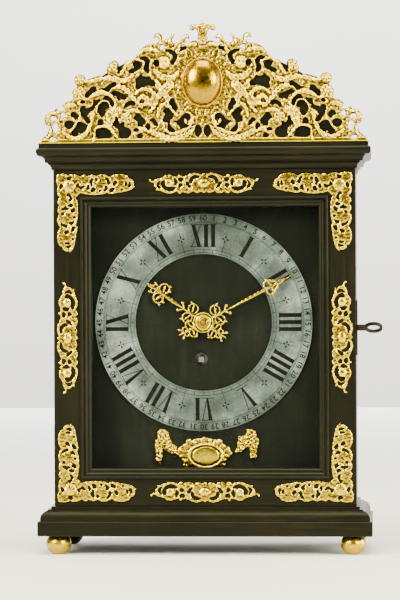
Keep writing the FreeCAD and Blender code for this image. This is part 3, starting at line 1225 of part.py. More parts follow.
PLATE_FRONT_Y = back(FRONT_PLATE_DEPTH)
PLATE_BACK_Y = back(BACK_PLATE_BACK)
CROWN_Y = inside(CROWN_AXIS_FROM)
CONTRATE_MIDDLE_RADIUS = CONTRATE_RADIUS - CONTRATE_RIM / 2
CROWN_PINION_Z = CONTRATE[1] + CONTRATE_MIDDLE_RADIUS - CROWN_PINION_LENGTH / 2
POTENCE_TOP_Z = CROWN_PINION_Z + CROWN_PINION_LENGTH + POTENCE_GAP + POTENCE_ARM
CROWN_Z = POTENCE_TOP_Z + POTENCE_GAP
CROWN_TIP_Z = CROWN_Z + CROWN_CUP + CROWN_TOOTH
VERGE = (CONTRATE[0], CROWN_TIP_Z + VERGE_RISE)
CLICK_PIVOT = (BARREL[0] + CLICK_PIVOT_X, BARREL[1] + CLICK_PIVOT_Z)
PIVOT_HOLE = PIVOT_RADIUS + RUNNING_CLEARANCE


def plate_hole(radius, place, plate_y):
    return bar_y(radius, place, plate_y - CUT_OVERRUN, plate_y + PLATE_THICK + CUT_OVERRUN)


def plate(plate_y):
    return box(
        DIAL_X - PLATE_HALF_WIDTH, DIAL_X + PLATE_HALF_WIDTH, plate_y, plate_y + PLATE_THICK,
        DIAL_Z - PLATE_LOW, DIAL_Z + PLATE_HIGH,
    )


minute_stud = bar_y(MINUTE_STUD_RADIUS, MINUTE_STUD, ahead(MINUTE_PINION_AHEAD + STUD_END), PLATE_FRONT_Y)
click_stud = bar_y(CLICK_STUD_RADIUS, CLICK_PIVOT, ahead(RATCHET_STANDOFF + RATCHET_THICK), PLATE_FRONT_Y)
front_holes = [
    plate_hole(ARBOR_RADIUS + RUNNING_CLEARANCE, CENTRE, PLATE_FRONT_Y),
    plate_hole(WINDING_ARBOR_RADIUS + RUNNING_CLEARANCE, BARREL, PLATE_FRONT_Y),
    plate_hole(PIVOT_HOLE, THIRD, PLATE_FRONT_Y),
    plate_hole(PIVOT_HOLE, CONTRATE, PLATE_FRONT_Y),
    plate_hole(PIVOT_HOLE, VERGE, PLATE_FRONT_Y),
]
save(fused([plate(PLATE_FRONT_Y), minute_stud, click_stud]).cut(front_holes), "front_plate")
back_plate_y = back(BACK_PLATE_DEPTH)
back_holes = [
    plate_hole(PIVOT_HOLE, CENTRE, back_plate_y),
    plate_hole(WINDING_ARBOR_RADIUS + RUNNING_CLEARANCE, BARREL, back_plate_y),
    plate_hole(PIVOT_HOLE, THIRD, back_plate_y),
    plate_hole(PIVOT_HOLE, CONTRATE, back_plate_y),
    plate_hole(VERGE_RADIUS + VERGE_HOLE_ROOM, VERGE, back_plate_y),
]
save(plate(back_plate_y).cut(back_holes), "back_plate")


def pillar(x, z):
    """A turned pillar: a collar at each end and a slimmer waist."""
    def at(radius, depth):
        return V(x + radius, inside(depth), z)

    steps = [
        [at(PILLAR_RADIUS, 0)],
        [at(PILLAR_RADIUS, PILLAR_COLLAR)],
        [at(PILLAR_WAIST, PLATE_GAP / 2), at(PILLAR_RADIUS, PLATE_GAP - PILLAR_COLLAR)],
        [at(PILLAR_RADIUS, PLATE_GAP)],
        [at(0, PLATE_GAP)],
    ]
    return Part.Face(outline(at(0, 0), steps)).revolve(V(x, 0, z), Y_AXIS, 360)


pillar_x = PLATE_HALF_WIDTH - PILLAR_INSET
pillar_zs = (DIAL_Z - PLATE_LOW + PILLAR_INSET, DIAL_Z + PLATE_HIGH - PILLAR_INSET)
save(group([pillar(DIAL_X + side * pillar_x, z) for side in (-1, 1) for z in pillar_zs]), "plate_pillars")


# Going train
def arbor(place):
    """An arbor between the plates with a pivot in each."""
    pivots = bar_y(PIVOT_RADIUS, place, PLATE_FRONT_Y, PLATE_BACK_Y)
    shaft = bar_y(ARBOR_RADIUS, place, inside(ARBOR_ENDSHAKE), inside(PLATE_GAP - ARBOR_ENDSHAKE))
    return [pivots, shaft]


def pinion(place, module, start, length, phase):
    return toothed(PINION_LEAVES, module, PINION_SHARES, round_y(place, inside(start)), V(0, length, 0),
        phase)


def spoked_wheel(place, teeth, module, start, phase):
    whole = toothed(teeth, module, WHEEL_SHARES, round_y(place, inside(start)), V(0, WHEEL_THICK, 0), phase)
    rim_radius = teeth * module / 2 - RIM_WIDTH
    return crossed(whole, place, inside(start), WHEEL_THICK, rim_radius)


great_phase = 0
centre_pinion_phase = mesh_phase(GREAT_TEETH, PINION_LEAVES, great_phase, bearing_to(BARREL, CENTRE))
third_pinion_phase = mesh_phase(CENTRE_TEETH, PINION_LEAVES, 0, bearing_to(CENTRE, THIRD))
contrate_pinion_phase = mesh_phase(THIRD_TEETH, PINION_LEAVES, 0, bearing_to(THIRD, CONTRATE))

centre_front = bar_y(ARBOR_RADIUS, CENTRE, collet_y - COLLET_HEIGHT - CENTRE_END, inside(ARBOR_ENDSHAKE))
centre_wheel = [
    centre_front,
    pinion(CENTRE, GREAT_MODULE, CENTRE_PINION_FROM, PINION_LENGTH, centre_pinion_phase),
    spoked_wheel(CENTRE, CENTRE_TEETH, CENTRE_MODULE, CENTRE_WHEEL_FROM, 0),
]
centre_pivot = bar_y(PIVOT_RADIUS, CENTRE, inside(PLATE_GAP - ARBOR_ENDSHAKE), PLATE_BACK_Y)
centre_shaft = bar_y(ARBOR_RADIUS, CENTRE, inside(ARBOR_ENDSHAKE), inside(PLATE_GAP - ARBOR_ENDSHAKE))
save(fused(centre_wheel + [centre_shaft, centre_pivot]), "centre_wheel")

third_wheel = arbor(THIRD) + [
    pinion(THIRD, CENTRE_MODULE, THIRD_PINION_FROM, PINION_LENGTH, third_pinion_phase),
    spoked_wheel(THIRD, THIRD_TEETH, THIRD_MODULE, THIRD_WHEEL_FROM, 0),
]
save(fused(third_wheel), "third_wheel")

# The contrate wheel's teeth stand forward from its rim
contrate_rim_y = inside(CONTRATE_WEB_FROM) - CONTRATE_RIM_DEPTH
contrate_tip_y = contrate_rim_y - CONTRATE_TOOTH
contrate_pitch = 2 * math.pi * CONTRATE_MIDDLE_RADIUS / CONTRATE_TEETH
contrate_low = CONTRATE[1] + CONTRATE_RADIUS - CONTRATE_RIM


def contrate_tooth(index):
    root = CONTRATE_ROOT_SHARE * contrate_pitch
    tip = CONTRATE_TIP_SHARE * contrate_pitch
    foot_y = contrate_rim_y + CONTRATE_RIM_DEPTH / 2
    middle = CONTRATE[0]
    points = [
        V(middle - root, foot_y, contrate_low), V(middle - root, contrate_rim_y, contrate_low),
        V(middle - tip, contrate_tip_y, contrate_low), V(middle + tip, contrate_tip_y, contrate_low),
        V(middle + root, contrate_rim_y, contrate_low), V(middle + root, foot_y, contrate_low),
    ]
    tooth = Part.Face(Part.makePolygon(points + points[:1])).extrude(V(0, 0, CONTRATE_RIM))
    tooth.rotate(V(CONTRATE[0], 0, CONTRATE[1]), Y_AXIS, 360 * index / CONTRATE_TEETH)
    return tooth


contrate_rim = bar_y(CONTRATE_RADIUS, CONTRATE, contrate_rim_y, inside(CONTRATE_WEB_FROM + WHEEL_THICK))
contrate_hollow = bar_y(
    CONTRATE_RADIUS - CONTRATE_RIM, CONTRATE, contrate_rim_y - CUT_OVERRUN, inside(CONTRATE_WEB_FROM),
)
contrate_body = crossed(
    contrate_rim.cut(contrate_hollow), CONTRATE, contrate_rim_y, CONTRATE_RIM_DEPTH + WHEEL_THICK,
    CONTRATE_RADIUS - CONTRATE_RIM - RIM_WIDTH / 2,
)
contrate_wheel = arbor(CONTRATE) + [
    contrate_body,
    pinion(CONTRATE, THIRD_MODULE, CONTRATE_PINION_FROM, PINION_LENGTH, contrate_pinion_phase),
]
save(fused(contrate_wheel + [contrate_tooth(i) for i in range(CONTRATE_TEETH)]), "contrate_wheel")


# Crown wheel on its upright arbor, between the two arms of the potence
def round_z(z):
    """Points round the crown wheel's upright axis, with angles from +Y towards +X."""
    def spot(angle, radius):
        return V(CONTRATE[0] + radius * math.sin(angle), CROWN_Y + radius * math.cos(angle), z)
    return spot


def crown_bar(radius, z0, z1):
    return bar_z(radius, CONTRATE[0], CROWN_Y, z0, z1)


crown_pinion_module = 2 * CROWN_PINION_RADIUS / PINION_LEAVES
crown_pinion = toothed(
    PINION_LEAVES, crown_pinion_module, PINION_SHARES, round_z(CROWN_PINION_Z),
    V(0, 0, CROWN_PINION_LENGTH),
    math.pi / PINION_LEAVES,
)
crown_pitch = 2 * math.pi * CROWN_RADIUS / CROWN_TEETH


def crown_tooth(index):
    """One raked tooth of the crown wheel."""
    rim_z = CROWN_Z + CROWN_CUP
    points = [
        V(CONTRATE[0] + u * crown_pitch, CROWN_Y + CROWN_RADIUS - CROWN_RIM,
        rim_z + (w * CROWN_TOOTH if w else -CROWN_WEB))
        for u, w in CROWN_TOOTH_SHARES
    ]
    tooth = Part.Face(Part.makePolygon(points + points[:1])).extrude(V(0, CROWN_RIM, 0))
    tooth.rotate(V(CONTRATE[0], CROWN_Y, 0), Z_AXIS, 360 * index / CROWN_TEETH)
    return tooth


crown_cup = crown_bar(CROWN_RADIUS, CROWN_Z, CROWN_Z + CROWN_CUP)
crown_hollow = crown_bar(CROWN_RADIUS - CROWN_RIM, CROWN_Z + CROWN_WEB, CROWN_Z + CROWN_CUP + CUT_OVERRUN)
crown_shaft = crown_bar(CROWN_ARBOR_RADIUS, CROWN_PINION_Z - POTENCE_GAP - POTENCE_ARM, CROWN_Z + CROWN_WEB)
crown_wheel = [crown_cup.cut(crown_hollow), crown_shaft, crown_pinion]
save(fused(crown_wheel + [crown_tooth(i) for i in range(CROWN_TEETH)]), "crown_wheel")

potence_half = POTENCE_WIDTH / 2
potence_low = CROWN_PINION_Z - POTENCE_GAP - POTENCE_ARM
potence_x0 = CONTRATE[0] - potence_half
potence_x1 = CONTRATE[0] + potence_half
potence_foot = box(potence_x0, potence_x1, inside(0), inside(POTENCE_FOOT), potence_low, POTENCE_TOP_Z)
potence_reach = CROWN_Y + POTENCE_REACH
potence_arms = [
    box(potence_x0, potence_x1, inside(0), potence_reach, z, z + POTENCE_ARM)
    for z in (potence_low, POTENCE_TOP_Z - POTENCE_ARM)
]
potence_bore = crown_bar(CROWN_ARBOR_RADIUS + RUNNING_CLEARANCE, potence_low - CUT_OVERRUN,
    POTENCE_TOP_Z + CUT_OVERRUN)
save(fused([potence_foot] + potence_arms).cut(potence_bore), "crown_potence")


# Barrel with its spring, and the winding arbor with ratchet and click
drum_y = inside(GREAT_WHEEL_FROM + GREAT_WHEEL_THICK)
drum_back = drum_y + DRUM_LENGTH
drum_inner = DRUM_RADIUS - DRUM_WALL
great_wheel = toothed(
    GREAT_TEETH, GREAT_MODULE, WHEEL_SHARES, round_y(BARREL, inside(GREAT_WHEEL_FROM)),
    V(0, GREAT_WHEEL_THICK, 0), great_phase,
)
drum = bar_y(DRUM_RADIUS, BARREL, drum_y, drum_back).cut(bar_y(drum_inner, BARREL, drum_y,
    drum_back - DRUM_WALL))
barrel_bore = bar_y(WINDING_ARBOR_RADIUS + RUNNING_CLEARANCE, BARREL, inside(0), drum_back + CUT_OVERRUN)
save(fused([great_wheel, drum]).cut(barrel_bore), "barrel")

spring_pitch = (drum_inner - SPRING_THICK / 2 - RUNNING_CLEARANCE - SPRING_START_RADIUS) / SPRING_TURNS


def spring_edge(offset):
    """Half-turn arcs of the spring's inner or outer face, from the arbor outwards."""
    arcs = []
    for half in range(2 * SPRING_TURNS):
        radius = SPRING_START_RADIUS + half * spring_pitch / 2 + offset
        middle = BARREL[0] + (half % 2) * spring_pitch / 2
        way = 1 if half % 2 == 0 else -1
        y = drum_y + SPRING_MARGIN
        points = (
            V(middle + way * radius, y, BARREL[1]),
            V(middle, y, BARREL[1] + way * radius),
            V(middle - way * radius, y, BARREL[1]),
        )
        arcs.append(points)
    return arcs


outer_arcs = spring_edge(SPRING_THICK / 2)
inner_arcs = spring_edge(-SPRING_THICK / 2)
spring_steps = [[middle, end] for start, middle, end in outer_arcs] + [[inner_arcs[-1][2]]]
spring_steps += [[middle, start] for start, middle, end in reversed(inner_arcs)]
spring_width = DRUM_LENGTH - DRUM_WALL - 2 * SPRING_MARGIN
save(prism(outline(outer_arcs[0][0], spring_steps), spring_width), "mainspring")

winding_shaft = bar_y(WINDING_ARBOR_RADIUS, BARREL, PLATE_FRONT_Y, PLATE_BACK_Y)
winding_hub = bar_y(BARREL_ARBOR_RADIUS, BARREL, drum_y + RUNNING_CLEARANCE,
    drum_back - DRUM_WALL - RUNNING_CLEARANCE)
square_half = WINDING_SQUARE / 2
winding_square = box(
    BARREL[0] - square_half, BARREL[0] + square_half, back(WINDING_SQUARE_DEPTH), PLATE_FRONT_Y,
    BARREL[1] - square_half, BARREL[1] + square_half,
)
save(fused([winding_shaft, winding_hub, winding_square]), "winding_arbor")

ratchet_y = ahead(RATCHET_STANDOFF + RATCHET_THICK)
ratchet_spot = round_y(BARREL, ratchet_y)
ratchet_step = 2 * math.pi / RATCHET_TEETH
ratchet_points = []
for tooth in range(RATCHET_TEETH):
    ratchet_points.append(ratchet_spot(tooth * ratchet_step, RATCHET_RADIUS))
    ratchet_points.append(ratchet_spot((tooth + RATCHET_RAKE_SHARE) * ratchet_step,
        RATCHET_RADIUS - RATCHET_TOOTH))
ratchet = prism(Part.makePolygon(ratchet_points + ratchet_points[:1]), RATCHET_THICK)
square_hole = box(
    BARREL[0] - square_half, BARREL[0] + square_half, ratchet_y - CUT_OVERRUN, PLATE_FRONT_Y,
    BARREL[1] - square_half, BARREL[1] + square_half,
)
save(ratchet.cut(square_hole), "ratchet_wheel")

click_place = sheet(CLICK_PIVOT[0], CLICK_PIVOT[1], (1, 0), (0, 1), ratchet_y)
click_angle = math.radians(CLICK_TIP_ANGLE)
click_tip_radius = RATCHET_RADIUS + CLICK_ROOM
click_tip = (
    BARREL[0] + click_tip_radius * math.sin(click_angle) - CLICK_PIVOT[0],
    BARREL[1] + click_tip_radius * math.cos(click_angle) - CLICK_PIVOT[1],
)
click_arm = lens(0, 0, click_tip[0], click_tip[1], CLICK_WIDTH, click_place, RATCHET_THICK)
click_hub = disc(0, 0, CLICK_STUD_RADIUS + CLICK_WALL, click_place, RATCHET_THICK)
click_hole = bar_y(CLICK_STUD_RADIUS + RUNNING_CLEARANCE, CLICK_PIVOT, ratchet_y - CUT_OVERRUN,
    PLATE_FRONT_Y)
save(fused([click_arm, click_hub]).cut(click_hole), "ratchet_click")

spring_x = CLICK_PIVOT[0] - CLICK_SPRING_LENGTH / 2
spring_z = CLICK_PIVOT[1] + CLICK_STUD_RADIUS + CLICK_WALL + CLICK_SPRING_LIFT
click_blade = box(
    spring_x, spring_x + CLICK_SPRING_LENGTH, ratchet_y, ratchet_y + RATCHET_THICK, spring_z,
    spring_z + CLICK_SPRING_WIDTH,
)
click_foot = box(
    spring_x + CLICK_SPRING_LENGTH, spring_x + CLICK_SPRING_LENGTH + CLICK_FOOT, ratchet_y, PLATE_FRONT_Y,
    spring_z, spring_z + CLICK_FOOT,
)
save(fused([click_blade, click_foot]), "click_spring")


# Motion work behind the dial
cannon_y = ahead(CANNON_AHEAD)
cannon_gear = toothed(
    CANNON_TEETH, CANNON_MODULE, MOTION_SHARES, round_y(CENTRE, cannon_y), V(0, CANNON_LENGTH, 0), 0,
)
cannon_pipe = bar_y(CANNON_RADIUS, CENTRE, back(MINUTE_DEPTH), cannon_y + CANNON_LENGTH)
cannon_bore = bar_y(ARBOR_RADIUS, CENTRE, back(MINUTE_DEPTH) - CUT_OVERRUN,
    cannon_y + CANNON_LENGTH + CUT_OVERRUN)
save(fused([cannon_gear, cannon_pipe]).cut(cannon_bore), "cannon_wheel")

stud_bearing = bearing_to(CENTRE, MINUTE_STUD)
minute_wheel_phase = mesh_phase(CANNON_TEETH, MINUTE_WHEEL_TEETH, 0, stud_bearing)
minute_disc = toothed(
    MINUTE_WHEEL_TEETH, CANNON_MODULE, MOTION_SHARES, round_y(MINUTE_STUD, ahead(MINUTE_WHEEL_AHEAD)),
    V(0, WHEEL_THICK, 0), minute_wheel_phase,
)
minute_pinion = toothed(
    MINUTE_PINION_LEAVES, HOUR_MODULE, MOTION_SHARES, round_y(MINUTE_STUD, ahead(MINUTE_PINION_AHEAD)),
    V(0, MINUTE_PINION_AHEAD - MINUTE_WHEEL_AHEAD, 0), 0,
)
minute_bore = bar_y(
    MINUTE_STUD_RADIUS + RUNNING_CLEARANCE, MINUTE_STUD, ahead(MINUTE_PINION_AHEAD) - CUT_OVERRUN,
    PLATE_FRONT_Y,
)
save(fused([minute_disc, minute_pinion]).cut(minute_bore), "minute_wheel")

hour_phase = mesh_phase(MINUTE_PINION_LEAVES, HOUR_TEETH, 0, bearing_to(MINUTE_STUD, CENTRE))
hour_disc = toothed(
    HOUR_TEETH, HOUR_MODULE, MOTION_SHARES, round_y(CENTRE, ahead(HOUR_WHEEL_AHEAD)),
    V(0, WHEEL_THICK, 0), hour_phase,
)
hour_pipe = bar_y(HOUR_PIPE_RADIUS, CENTRE, back(HOUR_DEPTH), ahead(HOUR_WHEEL_AHEAD) + WHEEL_THICK)
hour_bore = bar_y(
    CANNON_RADIUS + RUNNING_CLEARANCE, CENTRE, back(HOUR_DEPTH) - CUT_OVERRUN,
    ahead(HOUR_WHEEL_AHEAD) + WHEEL_THICK + CUT_OVERRUN,
)
save(fused([hour_disc, hour_pipe]).cut(hour_bore), "hour_wheel")


# Verge with its two pallets, and the crutch behind the back plate
def pallet(y_middle, angle):
    half = PALLET_THICK / 2
    flag = box(
        VERGE[0] - half, VERGE[0] + half, y_middle - PALLET_WIDTH / 2, y_middle + PALLET_WIDTH / 2,
        VERGE[1] - PALLET_REACH, VERGE[1],
    )
    flag.rotate(V(VERGE[0], 0, VERGE[1]), Y_AXIS, angle)
    return flag


pallet_radius = CROWN_RADIUS - CROWN_RIM / 2
crutch_y = PLATE_BACK_Y + CRUTCH_DEPTH
tab_y = PLATE_BACK_Y + COCK_TAB_DEPTH
verge_shaft = bar_y(VERGE_RADIUS, VERGE, inside(ARBOR_ENDSHAKE), tab_y - ARBOR_ENDSHAKE)
verge_pivots = bar_y(PIVOT_RADIUS, VERGE, PLATE_FRONT_Y, tab_y + COCK_TAB_THICK)
pallets = [pallet(CROWN_Y - pallet_radius, PALLET_ANGLE), pallet(CROWN_Y + pallet_radius, -PALLET_ANGLE)]
save(fused([verge_shaft, verge_pivots] + pallets), "verge")

pendulum_y = PLATE_BACK_Y + PENDULUM_DEPTH
crutch_low = VERGE[1] - CRUTCH_LENGTH
crutch_hub = bar_y(CRUTCH_HUB_RADIUS, VERGE, crutch_y, crutch_y + CRUTCH_THICK)
crutch_half = CRUTCH_WIDTH / 2
crutch_arm = box(VERGE[0] - crutch_half, VERGE[0] + crutch_half, crutch_y, crutch_y + CRUTCH_THICK,
    crutch_low, VERGE[1])
prong_end = pendulum_y + ROD_RADIUS + CRUTCH_PRONG
fork_half = CRUTCH_SLOT + CRUTCH_PRONG
fork = box(VERGE[0] - fork_half, VERGE[0] + fork_half, crutch_y, prong_end, crutch_low,
    crutch_low + CRUTCH_PRONG)
fork_slot = box(
    VERGE[0] - CRUTCH_SLOT, VERGE[0] + CRUTCH_SLOT, pendulum_y - ROD_RADIUS - CRUTCH_PRONG,
    prong_end + CUT_OVERRUN,
    crutch_low - CUT_OVERRUN, crutch_low + CRUTCH_PRONG + CUT_OVERRUN,
)
crutch_bore = bar_y(VERGE_RADIUS, VERGE, crutch_y - CUT_OVERRUN, crutch_y + CRUTCH_THICK + CUT_OVERRUN)
save(fused([crutch_hub, crutch_arm, fork.cut(fork_slot)]).cut(crutch_bore), "crutch")


# Back cock with the cheeks that shape the pendulum's swing
cock_z = VERGE[1] + COCK_RISE
cock_half = COCK_WIDTH / 2
cock_x0 = VERGE[0] - cock_half
cock_x1 = VERGE[0] + cock_half
cock_end = PLATE_BACK_Y + COCK_DEPTH
cock_shelf = box(cock_x0, cock_x1, PLATE_BACK_Y, cock_end, cock_z, cock_z + COCK_THICK)
cock_foot = box(cock_x0, cock_x1, PLATE_BACK_Y, PLATE_BACK_Y + COCK_FOOT_THICK, cock_z - COCK_FOOT_DROP,
    cock_z)
tab = box(
    VERGE[0] - COCK_TAB_HALF, VERGE[0] + COCK_TAB_HALF, tab_y, tab_y + COCK_TAB_THICK,
    cock_z - COCK_TAB_DROP, cock_z,
)
tab_hole = bar_y(PIVOT_HOLE, VERGE, tab_y - CUT_OVERRUN, tab_y + COCK_TAB_THICK + CUT_OVERRUN)
clamp = box(
    VERGE[0] - CLAMP_HALF_WIDTH, VERGE[0] + CLAMP_HALF_WIDTH, pendulum_y - CHEEK_DEPTH / 2,
    pendulum_y + CHEEK_DEPTH / 2,
    VERGE[1], cock_z,
)


def cheek(side):
    """One cheek, curving away from the thread as it goes down."""
    y = pendulum_y - CHEEK_DEPTH / 2

    def at(out, drop):
        return V(VERGE[0] + side * out, y, VERGE[1] - drop)

    inner = CLAMP_HALF_WIDTH
    middle = inner + CHEEK_FLARE * CHEEK_BELLY_SHARE
    steps = [
        [at(inner, 0)],
        [at(middle, CHEEK_DROP / 2), at(inner + CHEEK_FLARE, CHEEK_DROP)],
        [at(inner + CHEEK_WIDTH, CHEEK_DROP)],
        [at(inner + CHEEK_WIDTH, -COCK_RISE)],
    ]
    return prism(outline(at(inner, -COCK_RISE), steps), CHEEK_DEPTH)


save(fused([cock_shelf, cock_foot, tab.cut(tab_hole), clamp, cheek(-1), cheek(1)]), "suspension_cock")


# Pendulum: thread, rod, bob and rating nut
thread_top = VERGE[1] - THREAD_TOP_GAP
thread_low = thread_top - THREAD_LENGTH
thread = box(
    VERGE[0] - THREAD_THICK / 2, VERGE[0] + THREAD_THICK / 2, pendulum_y - THREAD_WIDTH / 2,
    pendulum_y + THREAD_WIDTH / 2,
    thread_low, thread_top,
)
save(thread, "suspension_thread")
bob_z = VERGE[1] - PENDULUM_LENGTH
rod_low = bob_z - ROD_TAIL
hook = bar_z(ROD_HOOK_RADIUS, VERGE[0], pendulum_y, thread_low - ROD_HOOK_LENGTH, thread_low)
rod = bar_z(ROD_RADIUS, VERGE[0], pendulum_y, rod_low, thread_low - ROD_HOOK_LENGTH)
nut = bar_z(NUT_RADIUS, VERGE[0], pendulum_y, bob_z - BOB_RADIUS - NUT_HEIGHT, bob_z - BOB_RADIUS)
save(fused([hook, rod, nut]), "pendulum_rod")

# The bob is the lens shared by two spheres
bob_sphere = (BOB_RADIUS ** 2 + (BOB_THICK / 2) ** 2) / BOB_THICK
bob_offset = bob_sphere - BOB_THICK / 2
bob_front = Part.makeSphere(bob_sphere, V(VERGE[0], pendulum_y + bob_offset, bob_z))
bob = bob_front.common(Part.makeSphere(bob_sphere, V(VERGE[0], pendulum_y - bob_offset, bob_z)))
bob_bore = bar_z(ROD_RADIUS, VERGE[0], pendulum_y, bob_z - BOB_RADIUS - CUT_OVERRUN,
    bob_z + BOB_RADIUS + CUT_OVERRUN)
save(bob.cut(bob_bore), "pendulum_bob")


# Cresting: black board, pierced gilt front, boss and finial, standing on the cornice's front
crest_back_y = back(-CREST_SETBACK)
board_y = crest_back_y - CREST_BOARD_THICK
fret_y = board_y - CREST_THICK
CREST_SCALE_X = CREST_HALF_WIDTH / (CREST_MIDDLE_PX - CREST_END_PX)
CREST_SCALE_Z = CREST_RISE / CREST_RISE_PX


def crest_sheet(y):
    """Puts a pixel of the photograph on the cresting's plane at y."""
    def place(across, down):
        return V((across - CREST_MIDDLE_PX) * CREST_SCALE_X, y,
            TOP_Z + (CREST_FOOT_PX - down) * CREST_SCALE_Z)
    return place


def crest_plate(end_px, runs, y, thick):
    """A plate on the cresting's plane: straight foot, left edge along runs of points, and its mirror."""
    foot_middle = (CREST_MIDDLE_PX, CREST_FOOT_PX)
    half = prism(traced((end_px, CREST_FOOT_PX), runs + [[foot_middle]], crest_sheet(y)), thick)
    return fused([half, mirrored(half)])


def oval(half_width, half_height, middle_z, y0, y1):
    """An elliptical disc along Y on the middle plane."""
    stretch = FreeCAD.Matrix()
    stretch.scale(1, 1, half_height / half_width)
    shape = bar_y(half_width, (0, 0), y0, y1).transformGeometry(stretch)
    shape.translate(V(0, 0, middle_z))
    return shape


board = crest_plate(CREST_BOARD_END_PX, CREST_BOARD_EDGE_PX, board_y, CREST_BOARD_THICK)
save(board, "cresting_board")

crest_cuts = openings(CREST_PIERCINGS_PX, crest_sheet(fret_y - CUT_OVERRUN), CREST_THICK + 2 * CUT_OVERRUN)
crest_cuts += [mirrored(cut) for cut in crest_cuts]
crest = crest_plate(CREST_END_PX, CREST_EDGE_PX, fret_y, CREST_THICK).cut(crest_cuts)
save(crest.Solids[0], "cresting_fret")

boss_z = TOP_Z + BOSS_Z_PX * CREST_SCALE_Z
boss_rim = oval(BOSS_HALF_WIDTH + BOSS_RIM_WIDTH, BOSS_HALF_HEIGHT + BOSS_RIM_WIDTH, boss_z,
    fret_y - BOSS_RIM_HEIGHT, fret_y)
dome_shape = FreeCAD.Matrix()
dome_shape.scale(1, BOSS_HEIGHT / BOSS_HALF_WIDTH, BOSS_HALF_HEIGHT / BOSS_HALF_WIDTH)
dome = Part.makeSphere(BOSS_HALF_WIDTH).transformGeometry(dome_shape)
dome.translate(V(0, fret_y - BOSS_RIM_HEIGHT, boss_z))
dome_front = box(
    -BOSS_HALF_WIDTH, BOSS_HALF_WIDTH, fret_y - BOSS_RIM_HEIGHT - BOSS_HEIGHT, fret_y - BOSS_RIM_HEIGHT / 2,
    boss_z - BOSS_HALF_HEIGHT, boss_z + BOSS_HALF_HEIGHT,
)
save(fused([boss_rim, dome.common(dome_front)]), "cresting_boss")

# Finial: a bell with two volutes on the cresting's top, with a tenon behind the gilt front
finial_place = crest_sheet(fret_y)
finial_foot = (CREST_MIDDLE_PX, FINIAL_FOOT_PX)
finial_half = prism(traced(finial_foot, FINIAL_EDGE_PX, finial_place), FINIAL_THICK)
tenon_y = fret_y + CREST_THICK
tenon_z = finial_place(*CREST_BOARD_EDGE_PX[-1][-1]).z
finial_tenon = box(
    -FINIAL_TENON_HALF, FINIAL_TENON_HALF, tenon_y, tenon_y + FINIAL_TENON_THICK, tenon_z,
    tenon_z + FINIAL_TENON_RISE,
)
save(fused([finial_half, mirrored(finial_half), finial_tenon]), "cresting_finial")
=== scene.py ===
"""Ebony table clock with gilt mounts: the looks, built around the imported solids."""
import math

import bmesh
import bpy
from mathutils import Matrix, Vector
from mathutils import noise as field
from mathutils.bvhtree import BVHTree
from mathutils.geometry import delaunay_2d_cdt
from mathutils.kdtree import KDTree


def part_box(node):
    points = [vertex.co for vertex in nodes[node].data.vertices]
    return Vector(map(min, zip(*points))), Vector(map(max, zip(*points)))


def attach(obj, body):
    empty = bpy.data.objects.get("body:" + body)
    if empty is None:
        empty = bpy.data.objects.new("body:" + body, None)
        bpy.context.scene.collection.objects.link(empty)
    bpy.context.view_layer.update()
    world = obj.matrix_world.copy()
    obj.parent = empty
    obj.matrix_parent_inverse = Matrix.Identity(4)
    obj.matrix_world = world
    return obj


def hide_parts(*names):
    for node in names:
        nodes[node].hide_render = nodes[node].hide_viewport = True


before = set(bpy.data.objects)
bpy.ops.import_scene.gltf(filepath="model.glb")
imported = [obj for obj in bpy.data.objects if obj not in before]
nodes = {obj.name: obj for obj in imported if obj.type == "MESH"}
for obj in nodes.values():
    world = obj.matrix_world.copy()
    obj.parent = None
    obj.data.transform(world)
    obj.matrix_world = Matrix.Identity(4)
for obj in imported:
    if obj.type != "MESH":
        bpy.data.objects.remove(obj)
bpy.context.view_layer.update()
MM = 0.001

# Meshes: what counts as one place, a face's own plane, a cut's edge and a point in the drawn triangles
SAME_PLACE = 1e-6
SAME_DEPTH = 1e-5
CUT_EDGE = 1e-7
SAME_CORNER = 1e-9


# Small tools
def linear(code):
    """An sRGB hex colour as linear RGBA."""
    parts = [int(code[i:i + 2], 16) / 255 for i in (1, 3, 5)]
    return [p / 12.92 if p <= 0.04045 else ((p + 0.055) / 1.055) ** 2.4 for p in parts] + [1.0]


def add(tree, kind, inputs=None, **settings):
    """Adds a node with its settings; an input that is a socket is linked, and any other is set."""
    node = tree.nodes.new(kind)
    for name, value in settings.items():
        setattr(node, name, value)
    for name, value in (inputs or {}).items():
        if isinstance(value, bpy.types.NodeSocket):
            tree.links.new(value, node.inputs[name])
        else:
            node.inputs[name].default_value = value
    return node


def material(name):
    """A new material, its node tree and its shader."""
    made = bpy.data.materials.new(name)
    made.use_nodes = True
    return made, made.node_tree, made.node_tree.nodes["Principled BSDF"]


def ramp(tree, value, *stops):
    """A colour ramp with stops of (place, hex colour)."""
    node = add(tree, "ShaderNodeValToRGB", {"Fac": value})
    while len(node.color_ramp.elements) < len(stops):
        node.color_ramp.elements.new(0.5)
    for element, (place, code) in zip(node.color_ramp.elements, stops):
        element.position = place
        element.color = linear(code)
    return node.outputs["Color"]


def noise(tree, size_mm, stretch=(1, 1, 1), detail=4.0):
    """Noise whose patches are about a size in millimetres, stretched along the axes."""
    place = add(tree, "ShaderNodeTexCoord").outputs["Object"]
    scale = [1 / (size_mm * MM * s) for s in stretch]
    mapped = add(tree, "ShaderNodeMapping", {"Vector": place, "Scale": scale}).outputs["Vector"]
    return add(tree, "ShaderNodeTexNoise", {"Vector": mapped, "Scale": 1.0, "Detail": detail}).outputs["Fac"]


def spread(tree, value, low, high):
    """Maps 0 to 1 onto a range."""
    return add(tree, "ShaderNodeMapRange", {"Value": value, "To Min": low, "To Max": high}).outputs["Result"]


def bumped(tree, shader, height, strength, depth_mm):
    bump = add(tree, "ShaderNodeBump", {"Height": height, "Strength": strength, "Distance": depth_mm * MM})
    tree.links.new(bump.outputs["Normal"], shader.inputs["Normal"])


